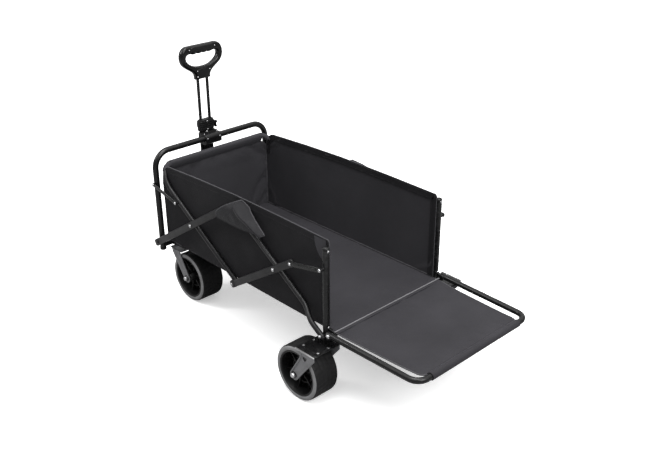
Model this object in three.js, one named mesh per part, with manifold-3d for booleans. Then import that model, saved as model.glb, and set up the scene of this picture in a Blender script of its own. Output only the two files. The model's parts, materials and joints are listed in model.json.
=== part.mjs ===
// Folding camp wagon: a steel double-scissor frame with a fabric bed, swivelling
// front wheels, fixed rear wheels, a telescoping pull handle and a drop tailgate.
// Millimetres, +Z up, +X towards the tailgate, -X towards the pull handle.
// Shapes are written from the plane of the front posts (x = 0) and the whole group is
// then shifted so that the origin is under the middle of the outer size, on the ground.
import * as THREE from 'three';
import { mergeVertices } from 'three/addons/utils/BufferGeometryUtils.js';
import Module from 'manifold-3d';

const wasm = await Module();
wasm.setup();

// ---- driving dimensions ---------------------------------------------------------------
const CENTRE_X = 598.8; // from the front posts to the middle of the overall length
const SPAN = 870; // front post to rear post, wagon open
const POST_Y = 248; // post centre from the middle plane
const POST_R = 11; // post tube radius
const CROSSBAR_Z = 558; // centre of the front crossbar
const FRONT_CORNER = 58; // bend radius at the top of the front frame
const FRONT_FOOT_Z = 187; // lower end of the front posts
const REAR_FOOT_Z = 194.6;
const REAR_TOP_Z = 508;
const LOWER_BAR_Z = 204; // lower crossbars, front and rear
const LOWER_BAR_R = 9.5;

const PIVOT_Z = 222; // height of the end pivots of the scissors
const RISE = 277.6; // height from the lower pivots to the top middle joint
const BAR_ANGLE = Math.atan2(RISE, SPAN / 2); // slope of every scissor bar when open
const HALF_BAR = Math.hypot(SPAN / 4, RISE / 2); // from a bar's middle pivot to its end pivot
const OUTER_IN = 260; // outer layer of bars: inner face from the middle plane
const OUTER_T = 9.5; // its thickness
const OUTER_W = 25; // its width
const INNER_Y = 246.5; // inner layer of bars: centre
const INNER_R = 8.5; // inner bars are round tubes
const LINK_PIVOT = 103; // link pivot along the bar from its middle pivot
const LINK_POST_Z = 445; // link pivot on the posts

const WHEEL_R = 92;
const WHEEL_W = 92;
const TYRE_IN = 74; // radius where the tyre meets the rim
const REAR_HUB_X = 821;
const REAR_WHEEL_Y = 285;
const KINGPIN_X = 40;
const FRONT_HUB_X = 97; // trailing behind the kingpin
const FRONT_WHEEL_Y = 169;
const AXLE_BORE = 5.3;

const BED_HALF = 234; // half width of the fabric floor
const FLOOR_TOP = 231;
const FLOOR_T = 3;
const SKIN = 2; // fabric thickness

const GATE_X = 898; // tailgate hinge
const GATE_Z = 232;
const GATE_END_X = 1236.3; // centre of the tailgate's end tube
const GATE_END_Z = 229;
const GATE_R = 9.5;

const HANDLE_X = -34; // plane of the pull handle
const ROD_Y = 20; // the twin handle tubes from the middle plane
const HANDLE_PIVOT_Z = 206;

// ---- materials ------------------------------------------------------------------------
const paint = new THREE.MeshStandardMaterial({ color: 0x17171a, roughness: 0.42, metalness: 0.35 });
const zinc = new THREE.MeshStandardMaterial({ color: 0x8f9194, roughness: 0.38, metalness: 0.85 });
const bright = new THREE.MeshStandardMaterial({ color: 0xd0d2d4, roughness: 0.2, metalness: 1.0 });
const cloth = new THREE.MeshStandardMaterial({ color: 0x2c2b2f, roughness: 0.9, metalness: 0.0 });
const plastic = new THREE.MeshStandardMaterial({ color: 0x161617, roughness: 0.5, metalness: 0.0 });
const rubber = new THREE.MeshStandardMaterial({ color: 0x1b1b1d, roughness: 0.8, metalness: 0.0 });

// ---- joining and cutting --------------------------------------------------------------
function solid(geometry) {
  const g = geometry.clone();
  for (const name of Object.keys(g.attributes)) if (name !== 'position') g.deleteAttribute(name);
  const m = mergeVertices(g, 1e-4);
  return new wasm.Manifold(
    new wasm.Mesh({
      numProp: 3,
      vertProperties: Float32Array.from(m.attributes.position.array),
      triVerts: Uint32Array.from(m.index.array),
    }),
  );
}
function geometryOf(manifold) {
  const m = manifold.getMesh();
  const g = new THREE.BufferGeometry();
  const p = new Float32Array(m.numVert * 3);
  for (let i = 0; i < m.numVert; i++) for (let k = 0; k < 3; k++) p[3 * i + k] = m.vertProperties[m.numProp * i + k];
  g.setAttribute('position', new THREE.BufferAttribute(p, 3));
  g.setIndex(new THREE.BufferAttribute(new Uint32Array(m.triVerts), 1));
  g.computeVertexNormals();
  return g;
}
const join = (...gs) => geometryOf(gs.map(solid).reduce((a, b) => a.add(b)));
const cut = (g, ...tools) => geometryOf(tools.reduce((a, b) => a.subtract(solid(b)), solid(g)));

// ---- shapes ---------------------------------------------------------------------------
const box = (x0, x1, y0, y1, z0, z1) =>
  new THREE.BoxGeometry(x1 - x0, y1 - y0, z1 - z0).translate((x0 + x1) / 2, (y0 + y1) / 2, (z0 + z1) / 2);
const rodY = (x, z, r, y0, y1, n = 16) =>
  new THREE.CylinderGeometry(r, r, Math.abs(y1 - y0), n).translate(x, (y0 + y1) / 2, z);
const rodZ = (x, y, r, z0, z1, n = 16) =>
  new THREE.CylinderGeometry(r, r, z1 - z0, n).rotateX(Math.PI / 2).translate(x, y, (z0 + z1) / 2);
const rodX = (y, z, r, x0, x1, n = 12) =>
  new THREE.CylinderGeometry(r, r, x1 - x0, n).rotateZ(Math.PI / 2).translate((x0 + x1) / 2, y, z);

function outline(points) {
  const s = new THREE.Shape();
  points.forEach(([a, b], i) => (i ? s.lineTo(a, b) : s.moveTo(a, b)));
  s.closePath();
  return s;
}
const hole = (a, b, r) => new THREE.Path().absarc(a, b, r, 0, 2 * Math.PI, false);

// A plate in the XZ plane from y0 to y0 + t out from the middle plane, on side s.
function plate(shape, y0, t, s, curveSegments = 8) {
  const g = new THREE.ExtrudeGeometry(shape, { depth: t, bevelEnabled: false, curveSegments });
  return g.rotateX(Math.PI / 2).translate(0, s < 0 ? -y0 : y0 + t, 0);
}
// A plate in the YZ plane, centred on x.
function plateYZ(shape, x, t, bevel = 0, curveSegments = 10) {
  const g = new THREE.ExtrudeGeometry(shape, {
    depth: t - 2 * bevel, bevelEnabled: bevel > 0, bevelThickness: bevel, bevelSize: bevel, bevelOffset: -bevel,
    bevelSegments: 1, curveSegments,
  });
  return g.rotateX(Math.PI / 2).rotateZ(Math.PI / 2).translate(x - t / 2 + bevel, 0, 0);
}
function plateXY(shape, z0, t) {
  return new THREE.ExtrudeGeometry(shape, { depth: t, bevelEnabled: false }).translate(0, 0, z0);
}
// A turned piece on an axis along Y at (x, z); heights run outwards on side s.
function turned(profile, x, z, s, n = 14) {
  const g = new THREE.LatheGeometry(profile.map(([r, h]) => new THREE.Vector2(r, h)), n);
  if (s < 0) g.rotateX(Math.PI);
  return g.translate(x, 0, z);
}

// A round tube through a list of points, as an extrusion along a curve.
class Route extends THREE.Curve {
  constructor(points) {
    super();
    this.points = points.map((p) => new THREE.Vector3(...p));
  }
  getPoint(t, target = new THREE.Vector3()) {
    const n = this.points.length - 1;
    const i = Math.min(Math.floor(t * n + 1e-9), n - 1);
    return target.lerpVectors(this.points[i], this.points[i + 1], t * n - i);
  }
  getPointAt(u, target) {
    return this.getPoint(u, target);
  }
  getTangentAt(u, target = new THREE.Vector3()) {
    const n = this.points.length - 1;
    const i = Math.round(u * n);
    const a = this.points[Math.max(i - 1, 0)];
    const b = this.points[Math.min(i + 1, n)];
    const c = this.points[i];
    const before = c.clone().sub(a);
    const after = b.clone().sub(c);
    if (before.lengthSq() > 0) before.normalize();
    if (after.lengthSq() > 0) after.normalize();
    return target.copy(before.add(after).normalize());
  }
}
function tube(points, r, half = 6) {
  const ring = new THREE.Shape().absarc(0, 0, r, 0, 2 * Math.PI, false);
  return new THREE.ExtrudeGeometry(ring, {
    steps: points.length - 1, extrudePath: new Route(points), curveSegments: half, bevelEnabled: false,
  });
}
// Points of a bend of radius r at corner b, on the way from a to c.
function bend(a, b, c, r, n = 6) {
  const A = new THREE.Vector3(...a), B = new THREE.Vector3(...b), C = new THREE.Vector3(...c);
  const u = A.sub(B).normalize(), v = C.sub(B).normalize();
  const half = u.angleTo(v) / 2;
  const d = r / Math.tan(half);
  const p = B.clone().addScaledVector(u, d), q = B.clone().addScaledVector(v, d);
  const centre = B.clone().addScaledVector(u.clone().add(v).normalize(), r / Math.sin(half));
  const e0 = p.clone().sub(centre), e1 = q.clone().sub(centre), turn = e0.angleTo(e1);
  const out = [];
  for (let i = 0; i <= n; i++) {
    const w = (turn * i) / n;
    const e = e0.clone().multiplyScalar(Math.sin(turn - w) / Math.sin(turn)).addScaledVector(e1, Math.sin(w) / Math.sin(turn));
    out.push(centre.clone().add(e).toArray());
  }
  return out;
}

const wagon = new THREE.Group();
const model = new THREE.Group();
model.position.x = -CENTRE_X;
wagon.add(model);
function add(name, geometry, material) {
  const mesh = new THREE.Mesh(geometry, material);
  mesh.name = name;
  model.add(mesh);
}
const SIDES = [['left', -1], ['right', 1]];
const C = Math.cos(BAR_ANGLE), S = Math.sin(BAR_ANGLE);

// ---- front frame ----------------------------------------------------------------------
const fl = [0, -POST_Y, CROSSBAR_Z], fr = [0, POST_Y, CROSSBAR_Z];
add('front_frame_tube', tube([
  [0, -POST_Y, FRONT_FOOT_Z],
  ...bend([0, -POST_Y, 0], fl, fr, FRONT_CORNER, 6),
  ...bend(fl, fr, [0, POST_Y, 0], FRONT_CORNER, 6),
  [0, POST_Y, FRONT_FOOT_Z],
], POST_R, 7), paint);
add('front_lower_bar', rodY(0, LOWER_BAR_Z, LOWER_BAR_R, -(POST_Y - POST_R - 0.3), POST_Y - POST_R - 0.3), paint);
for (const [side, s] of SIDES) {
  // swivel plate under the lower bar, bored for the kingpin
  const y = s * FRONT_WHEEL_Y;
  const pad = new THREE.Shape();
  pad.absarc(KINGPIN_X, y, 30, -Math.PI / 2, Math.PI / 2, false);
  pad.lineTo(-9, y + 39);
  pad.lineTo(-9, y - 39);
  pad.closePath();
  pad.holes.push(hole(KINGPIN_X, y, 8.4));
  add(`caster_plate_${side}`, plateXY(pad, 191.6, 2.6), paint);
  // pin that carries the first scissor bar on the post
  add(`front_pivot_${side}`, turned([
    [0, 259.4], [4, 259.4], [4, 269.8], [8.5, 269.8], [8.5, 271.6], [6.2, 273.6], [0, 273.9],
  ], 0, PIVOT_Z, s, 12), bright);
}

// ---- scissor bars ---------------------------------------------------------------------
// Turns a shape drawn along a bar (x along it, z across it) to the bar's slope at (x, z).
const place = (g, down, x, z) => g.rotateY(down ? BAR_ANGLE : -BAR_ANGLE).translate(x, 0, z);
function flatBar(from, to, holes) {
  const h = OUTER_W / 2;
  const s = new THREE.Shape();
  s.absarc(to, 0, h, -Math.PI / 2, Math.PI / 2, false);
  s.absarc(from, 0, h, Math.PI / 2, (3 * Math.PI) / 2, false);
  s.closePath();
  holes.forEach((a) => s.holes.push(hole(a, 0, 4.4)));
  return s;
}
const ROUND_RIVET = [
  [0, 255.4], [9, 255.4], [9, 259.7], [4, 259.7], [4, 269.8], [8.5, 269.8], [8.5, 271.6], [6.2, 273.6], [0, 273.9],
];
const TOP_Z = PIVOT_Z + RISE;
const MID1 = [SPAN / 4, PIVOT_Z + RISE / 2], MID2 = [(3 * SPAN) / 4, PIVOT_Z + RISE / 2];

for (const [side, s] of SIDES) {
  // A: from the front post up to the top middle joint, with a boss and head for that joint
  const barA = place(plate(flatBar(-HALF_BAR - 24, HALF_BAR, [-HALF_BAR, 0]), OUTER_IN, OUTER_T, s, 6), false, ...MID1);
  const joint = (x, z) => [
    rodY(x, z, 9, s * 255.4, s * (OUTER_IN + 1), 12), rodY(x, z, 8.5, s * (OUTER_IN + OUTER_T - 1), s * 272.6, 12),
  ];
  add(`scissor_a_${side}`, join(barA, ...joint(SPAN / 2, TOP_Z)), paint);
  add(`rivet_front_${side}`, turned(ROUND_RIVET, ...MID1, s, 12), bright);
  // C: from the bottom middle joint up to the rear link
  const barC = place(plate(flatBar(-HALF_BAR, LINK_PIVOT + 6, [0]), OUTER_IN, OUTER_T, s, 6), false, ...MID2);
  add(`scissor_c_${side}`, join(barC, ...joint(SPAN / 2, PIVOT_Z)), paint);
  add(`rivet_rear_${side}`, turned(ROUND_RIVET, ...MID2, s, 12), bright);
  // D: round tube from the top middle joint, set outwards lower down to pass the rear post
  const alongD = (u, y) => [MID2[0] + u * C, s * y, MID2[1] - u * S];
  const offset = POST_Y + POST_R + 0.4 + INNER_R;
  const joggle = [];
  for (let i = 0; i <= 5; i++) {
    const t = i / 5, w = t * t * (3 - 2 * t);
    joggle.push(alongD(134 + 80 * t, INNER_Y + w * (offset - INNER_Y)));
  }
  const barD = tube([alongD(-HALF_BAR - 9, INNER_Y), ...joggle, alongD(HALF_BAR + 10, offset)], INNER_R, 6);
  add(`scissor_d_${side}`, cut(barD, rodY(SPAN, PIVOT_Z, 4.4, s * 250, s * 290, 12)), paint);
  add(`rear_pivot_${side}`, turned([
    [0, 259.4], [4, 259.4], [4, offset + INNER_R + 0.3], [8.5, offset + INNER_R + 0.3],
    [8.5, offset + INNER_R + 2.2], [6.2, offset + INNER_R + 4], [0, offset + INNER_R + 4.3],
  ], SPAN, PIVOT_Z, s, 12), bright);
}

// B: one bent tube, both arms and the bar across the front hem
const alongB = (u, v, y) => [MID1[0] + u * C + v * S, y, MID1[1] - u * S + v * C];
const HEM_U = -246, HEM_V = 29.5;
const corner = new THREE.CatmullRomCurve3(
  [[-165, 0.6, 246.5], [-192, 8, 245.6], [-216, 17.5, 239], [-234, 24.5, 227], [HEM_U, HEM_V, 206]]
    .map(([u, v, y]) => new THREE.Vector3(u, v, y)), false, 'centripetal');
const turnB = corner.getPoints(7).map((p) => [p.x, p.y, p.z]);
const routeB = [
  alongB(HALF_BAR + 9, 0, -INNER_Y), alongB(-140, 0, -INNER_Y),
  ...turnB.map(([u, v, y]) => alongB(u, v, -y)),
  ...turnB.slice().reverse().map(([u, v, y]) => alongB(u, v, y)),
  alongB(-140, 0, INNER_Y), alongB(HALF_BAR + 9, 0, INNER_Y),
];
add('scissor_b_frame', tube(routeB, INNER_R, 6), paint);
add('floor_cross_bar', rodY(SPAN / 2, PIVOT_Z, 5.2, -237.6, 237.6, 12), paint);

// front hem of the bed, a sleeve around B's cross bar
const [HEM_X, , HEM_Z] = alongB(HEM_U, HEM_V, 0);
function slot(r, drop) {
  const s = new THREE.Shape();
  s.absarc(HEM_X, HEM_Z, r, 0, Math.PI, false);
  s.absarc(HEM_X, HEM_Z - drop, r, Math.PI, 2 * Math.PI, false);
  s.closePath();
  return s;
}
const hem = slot(10.6, 22);
const hollow = new THREE.Path();
hollow.absarc(HEM_X, HEM_Z, 9.1, 0, Math.PI, false);
hollow.absarc(HEM_X, HEM_Z - 22, 9.1, Math.PI, 2 * Math.PI, false);
hem.holes.push(hollow);
add('front_hem_sleeve', plate(hem, -205, 410, 1, 5), cloth);

// ---- links between the bars and the posts ---------------------------------------------
const linkAngle = Math.atan2(PIVOT_Z + RISE / 2 + LINK_PIVOT * S - LINK_POST_Z, SPAN / 4 - LINK_PIVOT * C);
const linkLength = Math.hypot(SPAN / 4 - LINK_PIVOT * C, PIVOT_Z + RISE / 2 + LINK_PIVOT * S - LINK_POST_Z);
function link(w, y0, t, s) {
  const shape = new THREE.Shape();
  shape.absarc(linkLength, 0, w / 2, -Math.PI / 2, Math.PI / 2, false);
  shape.absarc(0, 0, w / 2, Math.PI / 2, (3 * Math.PI) / 2, false);
  shape.closePath();
  return plate(shape, y0, t, s, 4);
}
for (const [side, s] of SIDES) {
  const front = join(
    link(14, 261, 4.5, s), rodY(0, 0, 6.5, s * 259.4, s * 268, 12), rodY(linkLength, 0, 6.5, s * 255.4, s * 268, 12),
  ).rotateY(-linkAngle).translate(0, 0, LINK_POST_Z);
  add(`front_link_${side}`, front, paint);
  const rear = join(
    link(16, 270.2, 4.5, s), rodY(0, 0, 6.5, s * 259.4, s * 277.2, 12), rodY(linkLength, 0, 6.5, s * 269.9, s * 277.2, 12),
  ).rotateY(-(Math.PI - linkAngle)).translate(SPAN, 0, LINK_POST_Z);
  add(`rear_link_${side}`, rear, paint);
}

// ---- rear frame -----------------------------------------------------------------------
add('rear_frame_tube', join(
  rodZ(SPAN, -POST_Y, POST_R, REAR_FOOT_Z, REAR_TOP_Z),
  rodZ(SPAN, POST_Y, POST_R, REAR_FOOT_Z, REAR_TOP_Z),
  rodY(SPAN, LOWER_BAR_Z + 2, LOWER_BAR_R, -POST_Y, POST_Y),
), paint);
for (const [side, s] of SIDES) {
  // inverted-U wheel bracket with tapered arms down to the axle
  const arm = (arch) => {
    const a = new THREE.Shape();
    a.moveTo(851, 193.9);
    a.lineTo(911, 193.9);
    a.lineTo(911, 178);
    a.lineTo(868, 124);
    a.absarc(REAR_HUB_X, WHEEL_R, 18.5, -0.5, -Math.PI - 0.1, true);
    a.lineTo(847, 167);
    a.lineTo(851, 184);
    a.closePath();
    a.holes.push(hole(REAR_HUB_X, WHEEL_R, AXLE_BORE));
    if (arch) {
      const w = new THREE.Path();
      w.moveTo(861, 178);
      w.absarc(870, 172, 9, Math.PI, 2 * Math.PI, false);
      w.lineTo(879, 178);
      w.closePath();
      a.holes.push(w);
    }
    return a;
  };
  add(`rear_bracket_${side}`, join(
    plate(arm(true), 335.5, 3, s, 6), plate(arm(false), 231.5, 3, s, 6),
    box(829, 911, Math.min(s * 231.5, s * 338.5), Math.max(s * 231.5, s * 338.5), 190.4, 194.2),
  ), zinc);
  add(`rear_axle_${side}`, turned([
    [0, 226.6], [8, 226.6], [8, 231.2], [5, 231.2], [5, 338.8], [10, 338.8], [10, 341.5], [7.5, 344.5], [0, 345],
  ], REAR_HUB_X, WHEEL_R, s, 14), bright);
  // tailgate hinge: a lug behind the post with its pin
  add(`gate_hinge_${side}`, join(
    box(881.4, 906, Math.min(s * 245.5, s * 249.5), Math.max(s * 245.5, s * 249.5), 221, 243),
    rodY(GATE_X, GATE_Z, 4, s * 249, s * 271.5, 12), rodY(GATE_X, GATE_Z, 7.5, s * 270.6, s * 274, 12),
  ), zinc);
}

// ---- wheels ---------------------------------------------------------------------------
const W2 = WHEEL_W / 2;
const tyreProfile = [
  [TYRE_IN, -W2], [WHEEL_R - 7, -W2], [WHEEL_R - 2, -W2 + 3], [WHEEL_R, -W2 + 9],
  [WHEEL_R, W2 - 9], [WHEEL_R - 2, W2 - 3], [WHEEL_R - 7, W2], [TYRE_IN, W2], [TYRE_IN, -W2],
];
const R0 = TYRE_IN - 0.4;
const rimProfile = [
  [AXLE_BORE, -W2 + 2], [18, -W2 + 2], [18, -12], [R0 - 4, -12], [R0 - 4, -W2 + 4], [R0, -W2 + 4],
  [R0, W2 - 4], [R0 - 4, W2 - 4], [R0 - 4, 12], [18, 12], [18, W2 - 2], [AXLE_BORE, W2 - 2], [AXLE_BORE, -W2 + 2],
];
const lathe = (p, n) => new THREE.LatheGeometry(p.map(([r, h]) => new THREE.Vector2(r, h)), n);
const window_ = new THREE.Shape();
window_.absarc(0, 0, 61, 0.17, Math.PI / 3 - 0.17, false);
window_.absarc(0, 0, 27, Math.PI / 3 - 0.3, 0.3, true);
window_.closePath();
const windows = [];
for (let i = 0; i < 6; i++) {
  windows.push(new THREE.ExtrudeGeometry(window_, { depth: 40, bevelEnabled: false, curveSegments: 2 })
    .rotateZ((i * Math.PI) / 3).translate(0, 0, -20).rotateX(Math.PI / 2));
}
const tyre = lathe(tyreProfile, 32);
const rim = cut(lathe(rimProfile, 24), ...windows);
for (const [side, s] of SIDES) {
  for (const [end, x, y] of [['rear', REAR_HUB_X, REAR_WHEEL_Y], ['front', FRONT_HUB_X, FRONT_WHEEL_Y]]) {
    add(`${end}_tyre_${side}`, tyre.clone().translate(x, s * y, WHEEL_R), rubber);
    add(`${end}_rim_${side}`, rim.clone().translate(x, s * y, WHEEL_R), plastic);
  }
}

// ---- front casters --------------------------------------------------------------------
for (const [side, s] of SIDES) {
  const arm = new THREE.Shape();
  arm.moveTo(6, 191.1);
  arm.lineTo(74, 191.1);
  arm.lineTo(91, 150);
  arm.absarc(FRONT_HUB_X, WHEEL_R, 17, 0.3, -Math.PI * 0.86, true);
  arm.lineTo(32, 140);
  arm.closePath();
  arm.holes.push(hole(FRONT_HUB_X, WHEEL_R, AXLE_BORE));
  const [ya, yb] = [s * 116.5, s * 222].sort((a, b) => a - b);
  add(`caster_fork_${side}`, join(
    plate(arm, 218.7, 3.3, s, 6), plate(arm, 116.5, 3.3, s, 6), box(6, 74, ya, yb, 187.6, 191.1),
    rodZ(KINGPIN_X, s * FRONT_WHEEL_Y, 8, 190, 196, 14), rodZ(KINGPIN_X, s * FRONT_WHEEL_Y, 12, 194.6, 199.5, 6),
  ), zinc);
  add(`front_axle_${side}`, turned([
    [0, 112], [8, 112], [8, 116.2], [5, 116.2], [5, 222.3], [10, 222.3], [10, 225.2], [7.5, 228.6], [0, 229],
  ], FRONT_HUB_X, WHEEL_R, s, 14), bright);
}

// ---- tailgate -------------------------------------------------------------------------
const gl = [GATE_END_X, -250, GATE_END_Z], gr = [GATE_END_X, 250, GATE_END_Z];
const hl = [GATE_X - GATE_R, -260.5, GATE_Z], hr = [GATE_X - GATE_R, 260.5, GATE_Z];
add('tailgate_tube', cut(
  tube([hl, ...bend(hl, gl, gr, 38, 5), ...bend(gl, gr, hr, 38, 5), hr], GATE_R, 6),
  rodY(GATE_X, GATE_Z, 4.4, -290, 290, 12),
), paint);
add('tailgate_panel', plateXY(outline([
  [884, -234], [1190, -217], [1226, -203], [1226, 203], [1190, 217], [884, 234],
]), 229, 2.5), cloth);

// ---- fabric bed -----------------------------------------------------------------------
add('bed_floor', box(20 + SKIN + 0.3, 880, -BED_HALF, BED_HALF, FLOOR_TOP - FLOOR_T, FLOOR_TOP), cloth);
add('bed_front', box(20, 20 + SKIN, -BED_HALF, BED_HALF, FLOOR_TOP - FLOOR_T, 485), cloth);
for (const [side, s] of SIDES) {
  add(`bed_side_${side}`, plate(outline([
    [20, FLOOR_TOP + 0.3], [880, FLOOR_TOP + 0.3], [880, 527], [660, 532], [435, 534], [250, 530], [80, 523],
    [74, 484], [20, 446],
  ]), BED_HALF + 0.3, SKIN, s), cloth);
  add(`joint_flap_${side}`, plate(outline([
    [402, 470], [424, 446], [482, 454], [540, 447], [604, 462], [618, 482], [508, 545], [494, 545],
  ]), 275, SKIN, s), cloth);
}

// ---- pull handle ----------------------------------------------------------------------
// pivot bracket on the lower bar, with the pin the handle turns on
add('handle_pivot_bracket', join(
  box(-14, -9.9, -33, 33, 194.5, 213.5), box(-43, -10, 29, 33, 197, 215), box(-43, -10, -33, -29, 197, 215),
  rodY(HANDLE_X, HANDLE_PIVOT_Z, 5, -32, 32, 12),
), paint);
const ring = (y) => {
  const r = new THREE.Shape().absarc(HANDLE_X, y, 7.5, 0, 2 * Math.PI, false);
  r.holes.push(hole(HANDLE_X, y, 5.2));
  return new THREE.ExtrudeGeometry(r, { depth: 577.6 - 221, bevelEnabled: false, curveSegments: 6 }).translate(0, 0, 221);
};
add('handle_outer_tubes', cut(
  join(box(-42, -26, -28.6, 28.6, 198, 222), ring(-ROD_Y), ring(ROD_Y)), rodY(HANDLE_X, HANDLE_PIVOT_Z, 5.4, -40, 40, 12),
), paint);
for (const [side, s] of SIDES) {
  add(`handle_rod_${side}`, rodZ(HANDLE_X, s * ROD_Y, 4.75, 375, 769.6, 12), paint);
}
// clamp block at the top of the outer tubes, with ears for its lever
add('handle_clamp', cut(
  join(
    box(-48, -20, -34, 34, 578, 618), box(-47.5, -44.5, 33, 44, 597, 608), box(-23.5, -20.5, 33, 44, 597, 608),
  ), rodZ(HANDLE_X, ROD_Y, 5.2, 570, 630, 14), rodZ(HANDLE_X, -ROD_Y, 5.2, 570, 630, 14),
), plastic);
add('clamp_lever', join(rodX(39.2, 602, 4.3, -44, -24, 14), box(-43, -25, 36.6, 41.4, 579, 602), box(-43, -25, 40, 45, 579, 585)), plastic);
// clip on the front crossbar that holds the tubes upright and lets them out forwards
add('handle_clip', cut(
  box(HANDLE_X, 14, -43, 43, 534, 575.5), rodY(0, CROSSBAR_Z, POST_R + 0.3, -60, 60, 24),
  rodZ(HANDLE_X, ROD_Y, 8, 520, 590, 20), rodZ(HANDLE_X, -ROD_Y, 8, 520, 590, 20),
), plastic);
// D-shaped grip
const g = new THREE.Shape();
g.moveTo(-31, 770);
g.lineTo(31, 770);
g.lineTo(33, 786);
g.bezierCurveTo(42, 806, 72, 812, 84, 832);
g.bezierCurveTo(96, 852, 91, 893, 56, 893);
g.lineTo(-56, 893);
g.bezierCurveTo(-91, 893, -96, 852, -84, 832);
g.bezierCurveTo(-72, 812, -42, 806, -33, 786);
g.closePath();
const grab = new THREE.Path();
grab.moveTo(-50, 866);
grab.bezierCurveTo(-72, 866, -72, 846, -58, 834);
grab.bezierCurveTo(-40, 818, -22, 815, 0, 815);
grab.bezierCurveTo(22, 815, 40, 818, 58, 834);
grab.bezierCurveTo(72, 846, 72, 866, 50, 866);
grab.closePath();
g.holes.push(grab);
add('handle_grip', plateYZ(g, HANDLE_X, 24, 4, 5), plastic);

export default wagon;
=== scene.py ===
# Looks of a folding camp wagon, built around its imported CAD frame. Metres, +Z up, the tailgate
# towards +X and the pull handle towards -X. "left" is the -Y side.
import json
import math

import bmesh
import bpy
import numpy as np
from mathutils import Matrix, Vector, noise


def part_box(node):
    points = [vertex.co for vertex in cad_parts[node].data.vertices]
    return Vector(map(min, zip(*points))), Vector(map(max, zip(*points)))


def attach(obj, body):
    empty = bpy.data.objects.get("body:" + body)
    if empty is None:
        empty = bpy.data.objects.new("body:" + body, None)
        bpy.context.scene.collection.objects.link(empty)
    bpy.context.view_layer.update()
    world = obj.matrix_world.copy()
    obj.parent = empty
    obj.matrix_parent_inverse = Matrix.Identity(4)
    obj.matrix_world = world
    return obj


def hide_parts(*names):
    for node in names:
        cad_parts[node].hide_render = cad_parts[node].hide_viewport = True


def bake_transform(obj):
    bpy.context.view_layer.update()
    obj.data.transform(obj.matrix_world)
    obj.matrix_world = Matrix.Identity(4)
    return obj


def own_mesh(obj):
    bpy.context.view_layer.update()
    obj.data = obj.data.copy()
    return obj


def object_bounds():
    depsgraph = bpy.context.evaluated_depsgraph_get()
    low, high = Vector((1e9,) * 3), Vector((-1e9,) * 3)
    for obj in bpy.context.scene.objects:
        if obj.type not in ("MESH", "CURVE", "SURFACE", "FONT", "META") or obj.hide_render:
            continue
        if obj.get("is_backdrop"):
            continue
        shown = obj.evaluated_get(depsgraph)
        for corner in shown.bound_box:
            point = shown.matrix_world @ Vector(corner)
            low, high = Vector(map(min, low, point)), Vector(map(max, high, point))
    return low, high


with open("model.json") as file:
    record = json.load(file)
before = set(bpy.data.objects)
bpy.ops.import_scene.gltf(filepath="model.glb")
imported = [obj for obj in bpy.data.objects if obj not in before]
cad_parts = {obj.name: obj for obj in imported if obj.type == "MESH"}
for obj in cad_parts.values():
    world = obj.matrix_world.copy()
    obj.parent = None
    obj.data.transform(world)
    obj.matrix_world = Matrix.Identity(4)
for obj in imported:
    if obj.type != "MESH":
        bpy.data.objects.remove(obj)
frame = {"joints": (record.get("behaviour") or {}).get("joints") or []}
cad_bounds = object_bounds()
scene = bpy.context.scene
SIDES = (("left", -1), ("right", 1))
FLAT = 0.0001  # below this length a radius counts as a point on the axis


# ---- places, read from the frame ------------------------------------------------------
PIVOTS = {j["name"]: Vector(j["pos_m"]) for j in frame["joints"] if "pos_m" in j}
FRONT = PIVOTS["fold"]  # lower end of the scissors, on the front posts
MID_B = PIVOTS["scissor_b_pivot"]
TOP = PIVOTS["scissor_top_pivot"]
MID_C = PIVOTS["scissor_c_pivot"]
REAR = PIVOTS["rear_frame_pivot"]
GATE_PIN = PIVOTS["tailgate_hinge"]
UP = (TOP - FRONT).normalized()  # along bars A and C
DOWN = (REAR - TOP).normalized()  # along bars B and D
HALF_BAR = (TOP - FRONT).length / 2
LINK_PIVOT = 0.103  # link pin along a bar, from the bar's middle

# layers of the side frames, outwards from the middle plane
INNER_Y, INNER_R = 0.2465, 0.0085  # bars B and D: round tubes
BOSS_IN, SHANK_IN = 0.2554, 0.2594
BAR_IN, BAR_OUT = 0.260, 0.2695  # bars A and C: flat ovals
BAR_WIDTH, BAR_THICK = 0.025, BAR_OUT - BAR_IN
POST_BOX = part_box("front_frame_tube")
POST_R = (POST_BOX[1].x - POST_BOX[0].x) / 2
POST_Y = POST_BOX[1].y - POST_R
BAR_D_OUT = POST_Y + POST_R + 0.0004 + INNER_R  # bar D's foot, outside the rear post
CROSSBAR_Z = POST_BOX[1].z - POST_R
FRAME_BEND = 0.058
SIDE_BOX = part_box("bed_side_right")
FLOOR_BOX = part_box("bed_floor")
BED_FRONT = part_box("bed_front")[0].x
BED_REAR = SIDE_BOX[1].x
SIDE_Y = (SIDE_BOX[0].y + SIDE_BOX[1].y) / 2
FLOOR_Z = FLOOR_BOX[1].z


def squash_with_fold(obj):
    """Gives the cloth its own copy of its mesh."""
    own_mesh(obj)


# ---- lines and outlines ---------------------------------------------------------------
def on(p, y):
    """The point p moved along Y to the level y."""
    return Vector((p.x, y, p.z))


def smooth(t):
    """0 to 1 with level ends; t outside that range is clipped."""
    t = min(max(t, 0.0), 1.0)
    return t * t * (3 - 2 * t)


def circle(r, n=20):
    return [(r * math.cos(2 * math.pi * i / n), r * math.sin(2 * math.pi * i / n)) for i in range(n)]


def arc(a, b, r, start, end, n=12):
    """Points of an arc about (a, b), angles in degrees."""
    turns = [math.radians(w) for w in np.linspace(start, end, n)]
    return [(a + r * math.cos(w), b + r * math.sin(w)) for w in turns]


def hole(a, b, r, n=24):
    """A round hole's outline."""
    return arc(a, b, r, 0, 345, n)


def mirrored(line):
    """The (a, b) points of a line in reverse order, on the other side of a = 0."""
    return [(-a, b) for a, b in reversed(line)]


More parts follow.
